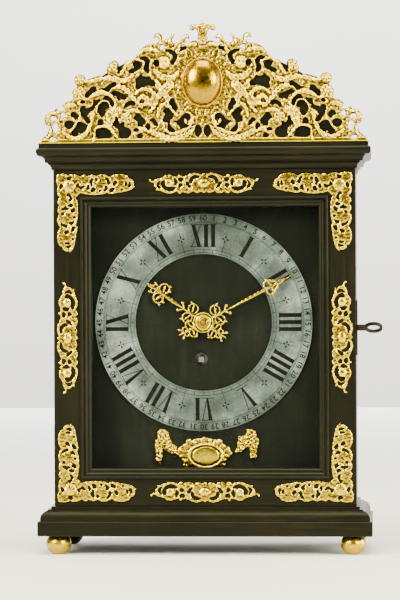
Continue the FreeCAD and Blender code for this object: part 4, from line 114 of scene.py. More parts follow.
def ebony(name, stretch, polish=0.05):
    """Waxed ebony, planed and polished: near black, with brown streaks along the grain and a wax sheen."""
    made, tree, shader = material(name)
    streaks = noise(tree, 2.4, stretch)
    pores = noise(tree, 0.5, [s * 1.5 for s in stretch], 2.0)
    clouds = noise(tree, 60.0)
    mixed = add(tree, "ShaderNodeMath", {0: streaks, 1: clouds}, operation="MULTIPLY").outputs[0]
    colour = ramp(tree, mixed, (0.12, "#070706"), (0.3, "#0d0d09"), (0.5, "#1a160e"))
    tree.links.new(colour, shader.inputs["Base Color"])
    tree.links.new(spread(tree, streaks, 0.3, 0.5), shader.inputs["Roughness"])
    shader.inputs["Specular IOR Level"].default_value = 0.15
    shader.inputs["Specular Tint"].default_value = linear("#cdc898")
    shader.inputs["Coat Weight"].default_value = polish
    shader.inputs["Coat Roughness"].default_value = 0.3
    bumped(tree, shader, pores, 0.25, 0.1)
    return made


def rings(tree, node, pitch_mm):
    """Rings turned on a lathe round a node's middle, as a wave from 0 to 1."""
    low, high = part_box(node)
    middle = (low + high) / 2
    place = add(tree, "ShaderNodeTexCoord").outputs["Object"]
    to_middle = {"Vector": place, "Location": (-middle.x, 0, -middle.z), "Scale": (1, 0, 1)}
    moved = add(tree, "ShaderNodeMapping", to_middle)
    out = add(tree, "ShaderNodeVectorMath", {0: moved.outputs["Vector"]}, operation="LENGTH").outputs["Value"]
    turns = math.tau / (pitch_mm * MM)
    phase = add(tree, "ShaderNodeMath", {0: out, 1: turns}, operation="MULTIPLY").outputs[0]
    swing = add(tree, "ShaderNodeMath", {0: phase}, operation="COSINE").outputs[0]
    return add(tree, "ShaderNodeMapRange", {"Value": swing, "From Min": -1.0}).outputs["Result"]


def gilding(name, roughness, raised, wash="#ffffff", turned_rings=False):
    """Fire-gilt bronze, cast, chased and worn; on raised pieces, warm gold as painted highlight on the high
    parts and brown as painted shade in the hollows.
    """
    made, tree, shader = material(name)
    patches = noise(tree, 3.0)
    # On raised pieces the relief attribute is painted shade and highlight: darker in hollows and at the back,
    # lighter on ridges and high parts
    height = add(tree, "ShaderNodeAttribute", attribute_name="relief").outputs["Fac"] if raised else 0.6
    summed = add(tree, "ShaderNodeMath", {0: height, 1: spread(tree, patches, -0.22, 0.22)}).outputs[0]
    colour = ramp(tree, summed, (0.08, "#1a1002"), (0.36, "#634c0e"), (0.62, "#c6a51e"), (0.97, "#ffe22c"))
    colours = {"Fac": 1.0, "Color1": colour, "Color2": linear(wash)}
    washed = add(tree, "ShaderNodeMixRGB", colours, blend_type="MULTIPLY")
    tree.links.new(washed.outputs["Color"], shader.inputs["Base Color"])
    tree.links.new(spread(tree, patches, roughness - 0.06, roughness + 0.14), shader.inputs["Roughness"])
    shader.inputs["Metallic"].default_value = 1.0
    if turned_rings:
        bumped(tree, shader, rings(tree, "hand_collet", 3.4), 1.0, 1.2)
    else:
        bumped(tree, shader, noise(tree, 1.1, detail=3.0), 0.6, 0.22)
    return made


def metal(name, dark, light, roughness, grain_mm, stretch=(1, 1, 1)):
    """A plain filed or polished metal with fine scratches and faint tarnish."""
    made, tree, shader = material(name)
    tarnish = noise(tree, 14.0)
    scratches = noise(tree, grain_mm, stretch, 2.0)
    tree.links.new(ramp(tree, tarnish, (0.3, dark), (0.7, light)), shader.inputs["Base Color"])
    tree.links.new(spread(tree, scratches, roughness * 0.8, roughness * 1.25), shader.inputs["Roughness"])
    shader.inputs["Metallic"].default_value = 1.0
    bumped(tree, shader, scratches, 0.12, 0.05)
    return made


def silvering(name):
    """Silvered brass, silvered by rubbing with silver salts: matt grey-green, clouded and freckled with
    tarnish, with painted highlight towards the left and right sides.
    """
    made, tree, shader = material(name)
    # Painted highlight: the ring is lighter towards its left and right sides, the left most, and darker down
    # the middle, as if lit from both sides
    low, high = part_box("chapter_ring")
    place = add(tree, "ShaderNodeTexCoord").outputs["Object"]
    across = add(tree, "ShaderNodeSeparateXYZ", {0: place}).outputs["X"]
    ends = {"Value": across, "From Min": low.x, "From Max": high.x, "To Min": -1.1, "To Max": 0.9}
    share = add(tree, "ShaderNodeMapRange", ends).outputs["Result"]
    painted_side_light = add(tree, "ShaderNodeMath", {0: share, 1: share}, operation="MULTIPLY").outputs[0]
    clouds = noise(tree, 22.0, detail=6.0)
    freckles = noise(tree, 1.6, detail=3.0)
    summed = add(tree, "ShaderNodeMath", {0: clouds, 1: spread(tree, freckles, -0.16, 0.16)}).outputs[0]
    summed = add(tree, "ShaderNodeMath", {0: summed, 1: spread(tree, painted_side_light, -0.14, 0.16)}).outputs[0]
    colour = ramp(tree, summed, (0.25, "#38413f"), (0.48, "#586666"), (0.72, "#97a3a3"))
    tree.links.new(colour, shader.inputs["Base Color"])
    tree.links.new(spread(tree, clouds, 0.42, 0.6), shader.inputs["Roughness"])
    shader.inputs["Metallic"].default_value = 0.55
    bumped(tree, shader, freckles, 0.1, 0.05)
    return made


def velvet(name):
    """Silk velvet gone flat with age: greenish black pile with pale vertical crushed streaks."""
    made, tree, shader = material(name)
    streaks = noise(tree, 5.0, (1, 1, 7))
    clouds = noise(tree, 34.0)
    mixed = add(tree, "ShaderNodeMath", {0: streaks, 1: clouds}, operation="MULTIPLY").outputs[0]
    colour = ramp(tree, mixed, (0.14, "#0c0f0b"), (0.3, "#11140f"), (0.5, "#1a1e18"))
    tree.links.new(colour, shader.inputs["Base Color"])
    shader.inputs["Roughness"].default_value = 0.95
    shader.inputs["Specular IOR Level"].default_value = 0.1
    shader.inputs["Sheen Weight"].default_value = 0.25
    shader.inputs["Sheen Roughness"].default_value = 0.4
    bumped(tree, shader, noise(tree, 0.9, (1, 1, 2), 2.0), 0.3, 0.15)
    return made


def plain(name, code, roughness, spot_mm=8.0):
    """A dull finish with slight clouding: floor, ink and silk."""
    made, tree, shader = material(name)
    clouds = noise(tree, spot_mm)
    colours = {"Fac": spread(tree, clouds, 0.0, 0.12), "Color1": linear(code), "Color2": linear("#000000")}
    shade = add(tree, "ShaderNodeMixRGB", colours)
    tree.links.new(shade.outputs["Color"], shader.inputs["Base Color"])
    shader.inputs["Roughness"].default_value = roughness
    return made


def glazing(name):
    """Thin old window glass: almost clear, with a faint reflection."""
    made, tree, shader = material(name)
    shader.inputs["Base Color"].default_value = linear("#0a0c0b")
    shader.inputs["Roughness"].default_value = 0.03
    shader.inputs["Specular IOR Level"].default_value = 0.05
    shader.inputs["Alpha"].default_value = 0.05
    bumped(tree, shader, noise(tree, 60.0, detail=1.0), 0.05, 0.3)
    return made


def oak(name):
    """Plain sawn oak: brown, with darker open grain up the board."""
    made, tree, shader = material(name)
    grain = noise(tree, 1.3, (1, 1, 26), 5.0)
    tree.links.new(ramp(tree, grain, (0.3, "#2e2013"), (0.65, "#5c452c")), shader.inputs["Base Color"])
    shader.inputs["Roughness"].default_value = 0.7
    bumped(tree, shader, grain, 0.4, 0.3)
    return made


EBONY_UPRIGHT = ebony("ebony_upright", (1, 1, 16))
EBONY_LEVEL = ebony("ebony_level", (16, 1, 1))
EBONY_DEEP = ebony("ebony_moulding", (1, 16, 1), 0.12)
GILT = gilding("gilt_bronze", 0.24, False)
CHASED = gilding("gilt_bronze_chased", 0.2, True)
GILT_POLISHED = gilding("gilt_bronze_burnished", 0.16, False, "#d2c48a")
GILT_DULL = gilding("gilt_bronze_darkened", 0.5, False, "#3a2808")
GILT_TURNED = gilding("gilt_bronze_turned", 0.2, False, "#ffffff", True)
BRASS = metal("filed_brass", "#7d6030", "#b8954e", 0.34, 0.6, (6, 1, 1))
STEEL = metal("polished_steel", "#5c5e60", "#9a9da0", 0.28, 0.5, (1, 1, 5))
STEEL_BRIGHT = metal("bright_steel", "#b4b6b8", "#e6e8ea", 0.2, 0.5)
IRON = metal("dark_iron", "#1b1613", "#3a312b", 0.5, 0.8)
SILVERED = silvering("silvered_brass")
INK = plain("engraved_black_wax", "#070705", 0.7)
INK.node_tree.nodes["Principled BSDF"].inputs["Specular IOR Level"].default_value = 0.12
VELVET = velvet("black_velvet")
SILK = plain("silk_thread", "#b7a684", 0.8, 1.0)
GLASS = glazing("window_glass")
OAK = oak("sawn_oak")

FINISH = {
    EBONY_UPRIGHT: "side_left side_right door_stiles",
    EBONY_LEVEL: "base_board base_moulding cornice_moulding top_board door_rails cresting_board",
    EBONY_DEEP: "door_moulding glazing_beads",
    GILT: "ball_feet corner_mounts rail_mounts stile_mounts cresting_fret cresting_finial dial_cartouche "
          "dial_festoons minute_hand hour_hand",
    GILT_TURNED: "hand_collet",
    GILT_DULL: "key_escutcheon",
    GILT_POLISHED: "cresting_boss",
    BRASS: "hinge_case_leaves hinge_door_leaves hinge_pins dial_plate front_plate back_plate plate_pillars "
           "barrel third_wheel contrate_wheel crown_wheel centre_wheel cannon_wheel minute_wheel hour_wheel "
           "crown_potence suspension_cock pendulum_bob",
    STEEL_BRIGHT: "winding_arbor",
    STEEL: "ratchet_wheel ratchet_click click_spring mainspring verge crutch pendulum_rod lock_bolt "
           "strike_plate",
    IRON: "door_key lock_case",
    SILVERED: "chapter_ring",
    VELVET: "dial_velvet",
    SILK: "suspension_thread",
    GLASS: "door_glass",
    OAK: "back_board dial_battens",
}
for look, names in FINISH.items():
    for name in names.split():
        nodes[name].data.materials.clear()
        nodes[name].data.materials.append(look)

# Painted shade: the rear feet get the ebony finish, as dark as the shade under the base, since a gilt ball
# there would show in the photograph
feet = nodes["ball_feet"].data
feet.materials.append(EBONY_LEVEL)
feet_low, feet_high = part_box("ball_feet")
for face in feet.polygons:
    if face.center.y > (feet_low.y + feet_high.y) / 2:
        face.material_index = 1


def piece(bm, name, look, body, stands_for=()):
    """Makes an object of a bmesh, rides it on its body and lets it stand for CAD nodes."""
    mesh = bpy.data.meshes.new(name)
    bm.to_mesh(mesh)
    bm.free()
    mesh.materials.append(look)
    made = bpy.data.objects.new(name, mesh)
    bpy.context.scene.collection.objects.link(made)
    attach(made, body)
    for node in stands_for:
        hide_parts(node)
    return made


# Chased relief on the flat gilt plates
def whole(bm):
    return bm.verts[:] + bm.edges[:] + bm.faces[:]


def smooth(bm):
    for face in bm.faces:
        face.smooth = True


def front_of(node, keep):
    """The front faces of a flat CAD node that lie where keep says, with its front and back depths."""
    bm = bmesh.new()
    bm.from_mesh(nodes[node].data)
    bmesh.ops.remove_doubles(bm, verts=bm.verts[:], dist=SAME_PLACE)
    front = min(v.co.y for v in bm.verts)
    back = max(v.co.y for v in bm.verts)
    deeper = [f for f in bm.faces if max(v.co.y for v in f.verts) > front + SAME_DEPTH]
    bmesh.ops.delete(bm, geom=deeper, context="FACES")
    outside = [f for f in bm.faces if not keep(f.calc_center_median())]
    bmesh.ops.delete(bm, geom=outside, context="FACES")
    return bm, front, back


def sliced(bm, step):
    """Cuts flat faces on a square grid, so that they can be raised."""
    for axis, way in ((0, Vector((1, 0, 0))), (2, Vector((0, 0, 1)))):
        low = min(v.co[axis] for v in bm.verts)
        high = max(v.co[axis] for v in bm.verts)
        for cut in range(1, int((high - low) / step) + 1):
            at = way * (low + cut * step)
            bmesh.ops.bisect_plane(bm, geom=whole(bm), dist=CUT_EDGE, plane_co=at, plane_no=way)


# Points along a rim, and the inner points' distance from it, as shares of the step between inner points
RIM_SPACING = 0.6
RIM_CLEARANCE = 0.55


def plate(flat, step):
    """A flat face as even small triangles, and the triples of rim vertices that make a plain back to it."""
    depth = min(v.co.y for v in flat.verts)
    places, numbers, edges = [], {}, []

    def number(spot):
        key = (round(spot.x, 7), round(spot.z, 7))
        if key not in numbers:
            numbers[key] = len(places)
            places.append(Vector((spot.x, spot.z)))
        return numbers[key]

    for edge in flat.edges:
        if edge.is_boundary:
            start, end = (v.co for v in edge.verts)
            count = math.ceil(edge.calc_length() / (RIM_SPACING * step))
            line = [number(start.lerp(end, share / count)) for share in range(count + 1)]
            edges += [pair for pair in zip(line, line[1:]) if pair[0] != pair[1]]
    near = KDTree(len(places))
    for index, place in enumerate(places):
        near.insert(place.to_3d(), index)
    near.balance()
    low = Vector((min(p.x for p in places), min(p.y for p in places)))
    high = Vector((max(p.x for p in places), max(p.y for p in places)))
    inner = []
    for row in range(int((high.y - low.y) / step) + 1):
        for column in range(int((high.x - low.x) / step) + 1):
            spot = low + Vector((column + 0.5 * (row % 2), row)) * step
            if near.find(spot.to_3d())[2] > RIM_CLEARANCE * step:
                inner.append(spot)
    solid = BVHTree.FromBMesh(flat)

    def triangles(spots):
        """Triangles of some spots that lie on the face, as numbers of the spots."""
        corners, _, faces, sources, _, _ = delaunay_2d_cdt(spots, edges, [], 0, SAME_CORNER)
        kept = []
        for face in faces:
            middle = sum((corners[c] for c in face), Vector((0, 0))) / len(face)
            before = Vector((middle.x, depth - 1, middle.y))
            if solid.ray_cast(before, Vector((0, 1, 0)))[0] is not None:
                kept.append([sources[c][0] for c in face])
        return kept

    front, behind = triangles(places + inner), triangles(places)
    flat.free()
    bm = bmesh.new()
    bm.verts.layers.float.new("raise")
    bm.verts.layers.float.new("relief")
    spots = [bm.verts.new((p.x, depth, p.y)) for p in places + inner]
    for face in front:
        bm.faces.new([spots[c] for c in face])
    behind = [[spots[c] for c in face] for face in behind]
    used = {v for face in behind for v in face}
    bmesh.ops.delete(bm, geom=[v for v in spots if not v.link_faces and v not in used], context="VERTS")
    return bm, behind


def dome(share):
    """The height of a half sphere at a share of its radius."""
    return math.sqrt(max(1 - share * share, 0.0))


def wave(angle):
    """A cosine wave from 0 to 1."""
    return 0.5 + 0.5 * math.cos(angle)


def risen(reach, steepness):
    """A slope from 0 at a rim up to 1, for a share of the way in from the rim."""
    return min(1.0, steepness * reach)


def walked(edges):
    """The length walked round its loop to each vertex of some boundary edges."""
    beside = {}
    for edge in edges:
        for vert in edge.verts:
            beside.setdefault(vert, []).append(edge)
    length = {}
    for start in beside:
        here, gone = start, 0.0
        while here is not None and here not in length:
            length[here] = gone
            onward = [(e, e.other_vert(here)) for e in beside[here] if e.other_vert(here) not in length]
            here = onward[0][1] if onward else None
            gone += onward[0][0].calc_length() if onward else 0.0
    return length


def hollowed(verts, layer, rounds):
    """How far each vertex's share stands above the mean round it: positive on ridges, negative in hollows."""
    mean = {v: v[layer] for v in verts}
    beside = {v: [e.other_vert(v) for e in v.link_edges] for v in verts}
    for _ in range(rounds):
        mean = {v: sum(mean[o] for o in near) / len(near) for v, near in beside.items()}
    return {v: v[layer] - mean[v] for v in verts}


# Chasing: flutes along the rims, a hammered grain, and the shares of height that they take
FLUTE = 4.2 * MM
GRAIN = 1.3 * MM
LEAF_HEIGHT, FLUTE_DEPTH, FLUTE_FADE, GRAIN_DEPTH = 0.75, 0.4, 0.6, 0.16
# Painted shade and highlight in the gilding's colour: middling on the level, painted highlight on ridges and
# high parts, painted shade in hollows and at the back
PAINTED_SHADE_LEVEL, PAINTED_SHADE_RIDGE, PAINTED_SHADE_HEIGHT, PAINTED_SHADE_BACK = 0.38, 1.5, 0.25, 0.1
PAINTED_SHADE_ROUNDS = 7


def chased(bm, behind, front, back, low, high, width, motif=None, seam=None):
    """Raises a plate into chased leafwork: rounded from every edge, fluted, with a closed flat back."""
    bm.verts.ensure_lookup_table()
    rim = [e for e in bm.edges if e.is_boundary and not (seam and all(seam(v.co) for v in e.verts))]
    length = walked(rim)
    rim_verts = list(length)
    tree = KDTree(len(rim_verts))
    for index, vert in enumerate(rim_verts):
        tree.insert(vert.co, index)
    tree.balance()
    raise_share = bm.verts.layers.float["raise"]
    shade = bm.verts.layers.float["relief"]
    rim_and_inner = bm.verts[:]
    for vert in rim_and_inner:
        _, index, away = tree.find(vert.co)
        reach = min(away / width, 1.0)
        rounded = math.sqrt(1 - (1 - reach) ** 2)
        flute = wave(2 * math.pi * length[rim_verts[index]] / FLUTE)
        grain = field.noise(vert.co / GRAIN)
        share = rounded * (LEAF_HEIGHT - FLUTE_DEPTH * flute * (1 - FLUTE_FADE * reach) + GRAIN_DEPTH * grain)
        if motif:
            share = motif(vert.co, reach, share)
        vert[raise_share] = share
    # Painted shade and highlight: the relief colour is darker in hollows and lighter on ridges and high parts
    for vert, above in hollowed(rim_and_inner, raise_share, PAINTED_SHADE_ROUNDS).items():
        vert[shade] = PAINTED_SHADE_LEVEL + PAINTED_SHADE_RIDGE * above + PAINTED_SHADE_HEIGHT * vert[raise_share]
    # Painted shade: the closed back is coloured dark
    lowered = {}
    for vert in {v for face in behind for v in face} | {v for edge in rim for v in edge.verts}:
        lowered[vert] = bm.verts.new((vert.co.x, back, vert.co.z))
        lowered[vert][shade] = PAINTED_SHADE_BACK
    for face in behind:
        bm.faces.new([lowered[v] for v in face])
    for edge in rim:
        one, other = edge.verts
        bm.faces.new((one, other, lowered[other], lowered[one]))
    for vert in rim_and_inner:
        vert.co.y = front + low - (low + high) * vert[raise_share]
    smooth(bm)


def doubled(bm, axis, at):
    """Adds the mirror image across a plane."""
    away = Matrix.Translation(-at)
    bmesh.ops.mirror(bm, geom=whole(bm), matrix=away, merge_dist=SAME_PLACE, axis=axis)


def gilt_piece(bm, name, body, node):
    """A finished chased piece that stands for a CAD node."""
    bmesh.ops.recalc_face_normals(bm, faces=bm.faces[:])
    return piece(bm, name, CHASED, body, [node])


# The door's mounts
MOUNT_STEP = 0.55 * MM
MOUNT_LEAVES = 0.8
STUD_FOOT, STUD_DOME, STUD_PETAL, STUD_PETALS = 0.5, 0.75, 0.14, 6
low_corner, high_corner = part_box("door_stiles")
MIDDLE = Vector((0, 0, (low_corner.z + high_corner.z) / 2))
# Roses and bosses, in millimetres: across, up, half width and half height
BAND_STUDS = [
    (0, 0, 3.6, 5.2), (0, 32, 4.0, 4.0), (0, -32, 4.0, 4.0), (-4.5, 12, 2.0, 2.0), (-4.5, -12, 2.0, 2.0),
]
CORNER_STUDS = [
    (24, 24, 5.5, 5.5), (24, 4, 3.4, 4.6), (4, 24, 4.6, 3.4), (24, -14, 2.6, 3.6), (-14, 24, 3.6, 2.6),
]


def door_mount(node, keep, axes, studs):
    """Chased mounts on the door, with domed roses and bosses at places measured from the mount's middle."""
    bm, front, back = front_of(node, keep)
    bm, behind = plate(bm, MOUNT_STEP)
    middle = Vector([(min(v.co[i] for v in bm.verts) + max(v.co[i] for v in bm.verts)) / 2 for i in range(3)])

    def studded(place, reach, share):
        height = MOUNT_LEAVES * share
        for x, z, wide, tall in studs:
            across = (place.x - middle.x) / MM - x
            rise = (place.z - middle.z) / MM - z
            out = math.hypot(across, rise * wide / tall) / wide
            if out < 1:
                petal = STUD_PETAL * math.cos(STUD_PETALS * math.atan2(rise, across)) * out
                height = max(height, (STUD_FOOT + STUD_DOME * dome(out) + petal) * risen(reach, 3))
        return height

    chased(bm, behind, front, back, low=0.7 * MM, high=1.1 * MM, width=1.9 * MM, motif=studded)
    for axis in axes:
        doubled(bm, axis, MIDDLE)
    return gilt_piece(bm, "chased_" + node, "door", node)


door_mount("corner_mounts", lambda p: p.x > 0 and p.z > MIDDLE.z, "XZ", CORNER_STUDS)
LYING_STUDS = [(z, x, tall, wide) for x, z, wide, tall in BAND_STUDS]
door_mount("rail_mounts", lambda p: p.z > MIDDLE.z, "Z", LYING_STUDS)
door_mount("stile_mounts", lambda p: p.x > 0, "X", BAND_STUDS)

# The cresting's front: leaves, with scrolls, flowers and two children's heads in higher relief
CREST_MIDDLE_PX, CREST_FOOT_PX = 204.6, 143.5
CREST_HALF_MM, CREST_HALF_PX = 149.0, 167.0
CREST_MM = Vector((CREST_HALF_MM / CREST_HALF_PX, 0, 0.9)) * MM
crest_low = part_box("cresting_fret")[0]


def crest_place(across, down):
    """The place on the cresting of a pixel of the photograph's left half, without depth."""
    rise = (CREST_FOOT_PX - down) * CREST_MM.z
    return Vector(((across - CREST_MIDDLE_PX) * CREST_MM.x, 0, crest_low.z + rise))


# Stems, scrolls and limbs, read on the photograph's left half enlarged: radius, height and points passed
ENLARGED = 8.711
ENLARGED_CORNER_PX = (30.0, 15.0)
STEMS_ENLARGED = [
    (15, 0.8, [(430, 770), (500, 720), (580, 685), (650, 668), (712, 702), (742, 775), (748, 835),
               (772, 890)]),
    (14, 0.8, [(690, 655), (760, 622), (835, 640), (885, 690), (925, 742), (990, 805)]),
    (10, 0.7, [(588, 845), (610, 782), (660, 748), (702, 772), (730, 835)]),
    (12, 0.8, [(930, 690), (980, 650), (1042, 648), (1092, 690), (1112, 752), (1085, 812), (1050, 850)]),
    (14, 0.9, [(950, 750), (985, 712), (1030, 730), (1022, 775), (975, 790)]),
    (13, 0.8, [(1190, 1000), (1262, 1035), (1345, 1012), (1405, 962), (1428, 900), (1395, 868), (1358, 888),
               (1372, 935)]),
    (12, 0.8, [(1125, 890), (1145, 810), (1200, 778), (1252, 830), (1300, 880)]),
    (16, 0.7, [(950, 985), (1040, 1003), (1125, 1042), (1215, 1076), (1315, 1070), (1405, 1030),
               (1455, 975)]),
    (14, 0.8, [(290, 1010), (350, 1058), (440, 1062), (503, 1012), (532, 945), (560, 860)]),
    (9, 0.6, [(352, 1012), (390, 968), (440, 915), (440, 850)]),
    (11, 0.7, [(560, 1095), (574, 1040), (592, 978), (645, 968), (705, 985), (742, 1030), (772, 1066)]),
    (15, 0.7, [(560, 575), (640, 548), (720, 552), (800, 575), (870, 560), (905, 520)]),
    (14, 0.7, [(800, 520), (850, 440), (905, 372), (975, 318), (1060, 300), (1135, 322)]),
    (12, 0.7, [(940, 392), (1000, 398), (1016, 455), (985, 505)]),
    (12, 0.6, [(1062, 535), (1042, 455), (1085, 400)]),
    (17, 0.8, [(1100, 480), (1135, 522), (1200, 552), (1270, 545), (1310, 500)]),
    (34, 1.0, [(1165, 690), (1200, 645), (1232, 612)]),
    (20, 0.8, [(1150, 700), (1090, 740), (1050, 790)]),
    (18, 0.8, [(1190, 700), (1225, 740), (1215, 800)]),
    (17, 0.8, [(1105, 575), (1130, 620), (1165, 640)]),
    (14, 0.7, [(1290, 340), (1330, 290), (1400, 262), (1460, 262)]),
    (22, 0.8, [(690, 845), (705, 900), (700, 955)]),
    (14, 0.7, [(730, 850), (735, 905), (715, 950)]),
    (9, 0.6, [(130, 940), (125, 890), (160, 850), (215, 850), (270, 830)]),
    (9, 0.6, [(165, 1060), (180, 1000), (165, 950)]),
    (11, 0.6, [(480, 560), (530, 575), (590, 560)]),
    (12, 0.6, [(400, 780), (330, 790), (300, 820)]),
    (12, 0.7, [(830, 900), (860, 850), (915, 830), (970, 850)]),
    (10, 0.6, [(1090, 205), (1130, 185), (1150, 220), (1160, 262), (1200, 290)]),
    (8, 0.6, [(1262, 175), (1235, 215), (1225, 262)]),
    (9, 0.6, [(1395, 190), (1350, 180), (1330, 225), (1290, 258)]),
]
# Flowers: middle, radius (pixels of the photograph) and petals
FLOWERS_PX = [
    (91.3, 114.0, 4.6, 5), (79.7, 92.5, 6.6, 8), (80.3, 79.2, 5.2, 6), (113.2, 66.3, 5.4, 6),
    (127.4, 118.0, 5.6, 6), (159.6, 37.5, 3.2, 5), (187.6, 38.0, 3.0, 5), (49.4, 117.6, 4.0, 5),
    (142.0, 130.0, 3.2, 5), (120.5, 110.5, 3.8, 5),
]
# The child's head: middle and radius
HEAD_PX = (165.7, 63.2, 6.8)
FOOT_BAND, FOOT_HEIGHT = 4.2 * MM, 0.75
VEIN, VEIN_SHARPNESS, NOTCH = 5.0 * MM, 4, 4.4 * MM
GROUND_HEIGHT, VEIN_HEIGHT, GROUND_GRAIN = 0.58, 0.16, 0.08
STEM_SWELL, STEM_REACH = 0.6, 4.0 * MM
# Lobes along a leaf: their slant, how far they swell its edge and its height, and the groove down its middle
LOBE_SLANT, LOBE_EDGE, LOBE_LOW = 3.2, 0.62, 0.62
GROOVE_WIDTH, GROOVE_DEPTH = 0.3, 0.24
FLOWER_FOOT, PETAL_HEIGHT, HEART_HEIGHT, HEART_SHARE = 0.25, 0.45, 0.5, 0.34
CURVE_STEPS = 12


def threaded(points):
    """Points closely spaced along a smooth curve through some points."""
    ends = [points[0], *points, points[-1]]
    spots = []
    for a, b, c, d in zip(ends, ends[1:], ends[2:], ends[3:]):
        first = (c - a) / 2
        second = a - b * 2.5 + c * 2 - d / 2
        third = b * 1.5 - a / 2 - c * 1.5 + d / 2
        for step in range(CURVE_STEPS):
            t = step / CURVE_STEPS
            spots.append(b + t * (first + t * (second + t * third)))
    return spots + [points[-1]]


def enlarged_place(x, z):
    return crest_place(ENLARGED_CORNER_PX[0] + x / ENLARGED, ENLARGED_CORNER_PX[1] + z / ENLARGED)


stems = []
for radius, height, points in STEMS_ENLARGED:
    line = threaded([enlarged_place(x, z) for x, z in points])
    along = 0.0
    for index, spot in enumerate(line):
        swell = 1.0 + STEM_SWELL * math.sin(math.pi * index / len(line))
        along += (spot - line[max(index - 1, 0)]).length
        stems.append((spot, radius / ENLARGED * CREST_MM.z * swell, height, along))
stem_tree = KDTree(len(stems))
for index, stem in enumerate(stems):
    stem_tree.insert(stem[0], index)
stem_tree.balance()
flowers = [(crest_place(a, b), r * CREST_MM.z, petals) for a, b, r, petals in FLOWERS_PX]
head_place, head_radius = crest_place(*HEAD_PX[:2]), HEAD_PX[2] * CREST_MM.z


# A face on a round head, as shares of its radius: across, up, reach and lift
FACE = [
    (-0.33, 0.02, 0.2, -0.3), (0.33, 0.02, 0.2, -0.3),  # eyes
    (0.0, -0.14, 0.17, 0.3), (0.0, -0.47, 0.16, -0.2),  # nose and mouth
    (-0.42, -0.35, 0.28, 0.16), (0.42, -0.35, 0.28, 0.16), (0.0, -0.7, 0.2, 0.14),  # cheeks and chin
]
HEAD_HEIGHT, HAIRLINE, HAIR_EDGE, CURL_HEIGHT = 1.1, 0.3, 0.78, 0.16
CURLS_ROUND, CURLS_OUT = 9, 8


def child_head(spot):
    """A generic child's head: face and curls, for a spot from -1 to 1 across it."""
    across, rise = spot.x, spot.z
    out = math.hypot(across, rise)
    if out >= 1:
        return 0.0
    height = HEAD_HEIGHT * dome(out)
    for x, z, reach, lift in FACE:
        height += lift * math.exp(-((across - x) ** 2 + (rise - z) ** 2) / (reach * reach))
    if rise > HAIRLINE or out > HAIR_EDGE:
        height += CURL_HEIGHT * math.cos(CURLS_ROUND * math.atan2(rise, across)) * math.cos(CURLS_OUT * out)
    return height


def crest_motif(place, reach, share):
    """The cresting's height at a place: leafy ground, and the stems, flowers and heads that stand above."""
    flat = Vector((-abs(place.x), 0, place.z))
    veins = max(0.0, 1 - VEIN_SHARPNESS * abs(field.noise(flat / VEIN)))
    grain = field.noise(flat / GRAIN)
    ground = GROUND_HEIGHT * share + (VEIN_HEIGHT * veins + GROUND_GRAIN * grain) * reach
    if place.z < crest_low.z + FOOT_BAND:
        ground = FOOT_HEIGHT * risen(reach, 3)
    added = 0.0
    for _, index, away in stem_tree.find_range(flat, STEM_REACH):
        radius, height, along = stems[index][1:]
        lobe = wave(math.tau * along / NOTCH + LOBE_SLANT * away / radius)
        edge = radius * (LOBE_EDGE + LOBE_EDGE * lobe)
        if away < edge:
            groove = max(0.0, 1 - away / (GROOVE_WIDTH * radius))
            leaf = dome(away / edge) * (LOBE_LOW + (1 - LOBE_LOW) * lobe)
            added = max(added, height * (leaf - GROOVE_DEPTH * groove))
    for middle, radius, petals in flowers:
        from_middle = flat - middle
        away = from_middle.length / radius
        if away < 1:
            petal = wave(petals * math.atan2(from_middle.z, from_middle.x))
            heart = HEART_HEIGHT * dome(min(away / HEART_SHARE, 1.0))
            added = max(added, FLOWER_FOOT + PETAL_HEIGHT * petal * math.sin(math.pi * away) + heart)
    added = max(added, child_head((flat - head_place) / head_radius))
    return ground + added * risen(reach, 2.5)


def on_middle(place):
    return abs(place.x) < SAME_PLACE


def everywhere(place):
    return True


def halved(bm, way):
    """Keeps the half of a mesh that lies behind a plane through the origin."""
    middle = (0, 0, 0)
    bmesh.ops.bisect_plane(bm, geom=whole(bm), dist=CUT_EDGE, plane_co=middle, plane_no=way, clear_outer=True)


bm, front, back = front_of("cresting_fret", everywhere)
halved(bm, (1, 0, 0))
bm, behind = plate(bm, step=0.5 * MM)
chased(
    bm, behind, front, back, low=1.9 * MM, high=1.2 * MM, width=2.3 * MM, motif=crest_motif, seam=on_middle
)
doubled(bm, "X", Vector((0, 0, 0)))
gilt_piece(bm, "chased_cresting", "case", "cresting_fret")


def chased_node(node, body, step, low, high, width, motif=None):
    """A flat gilt CAD node with its front raised."""
    bm, front, back = front_of(node, everywhere)
    bm, behind = plate(bm, step)
    chased(bm, behind, front, back, low, high, width, motif)
    return gilt_piece(bm, "chased_" + node, body, node)


# The hands: pierced work round a turned boss
ring_low, ring_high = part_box("chapter_ring")
RING = Vector(((ring_low.x + ring_high.x) / 2, ring_low.y, (ring_low.z + ring_high.z) / 2))
HAND_BOSS = 9.4 * MM
BOSS_RINGS = 3.1 * MM
RING_LEVEL, RING_SWING = 0.55, 0.45


def turned_boss(place, reach, share):
    """A hand's height: pierced work, and a round boss turned with rings."""
    out = math.hypot(place.x - RING.x, place.z - RING.z)
    if out < HAND_BOSS:
        return (RING_LEVEL + RING_SWING * math.cos(math.tau * out / BOSS_RINGS)) * risen(reach, 2)
    return share


for node, body in (("minute_hand", "minute_arbor"), ("hour_hand", "hour_pipe")):
    chased_node(node, body, step=0.5 * MM, low=0.3 * MM, high=0.35 * MM, width=0.9 * MM, motif=turned_boss)

FRUIT, SEED = 1.5 * MM, 0.8 * MM
FRUIT_HEIGHT, SEED_HEIGHT, CLUSTER_HEIGHT = 0.8, 0.5, 0.1


def berries(place, reach, share):
    """Small fruit and leaves, close together."""
    fruit = FRUIT_HEIGHT * field.noise(place / FRUIT)
    seeds = SEED_HEIGHT * field.noise(place / SEED)
    return share + reach * (fruit + seeds + CLUSTER_HEIGHT)


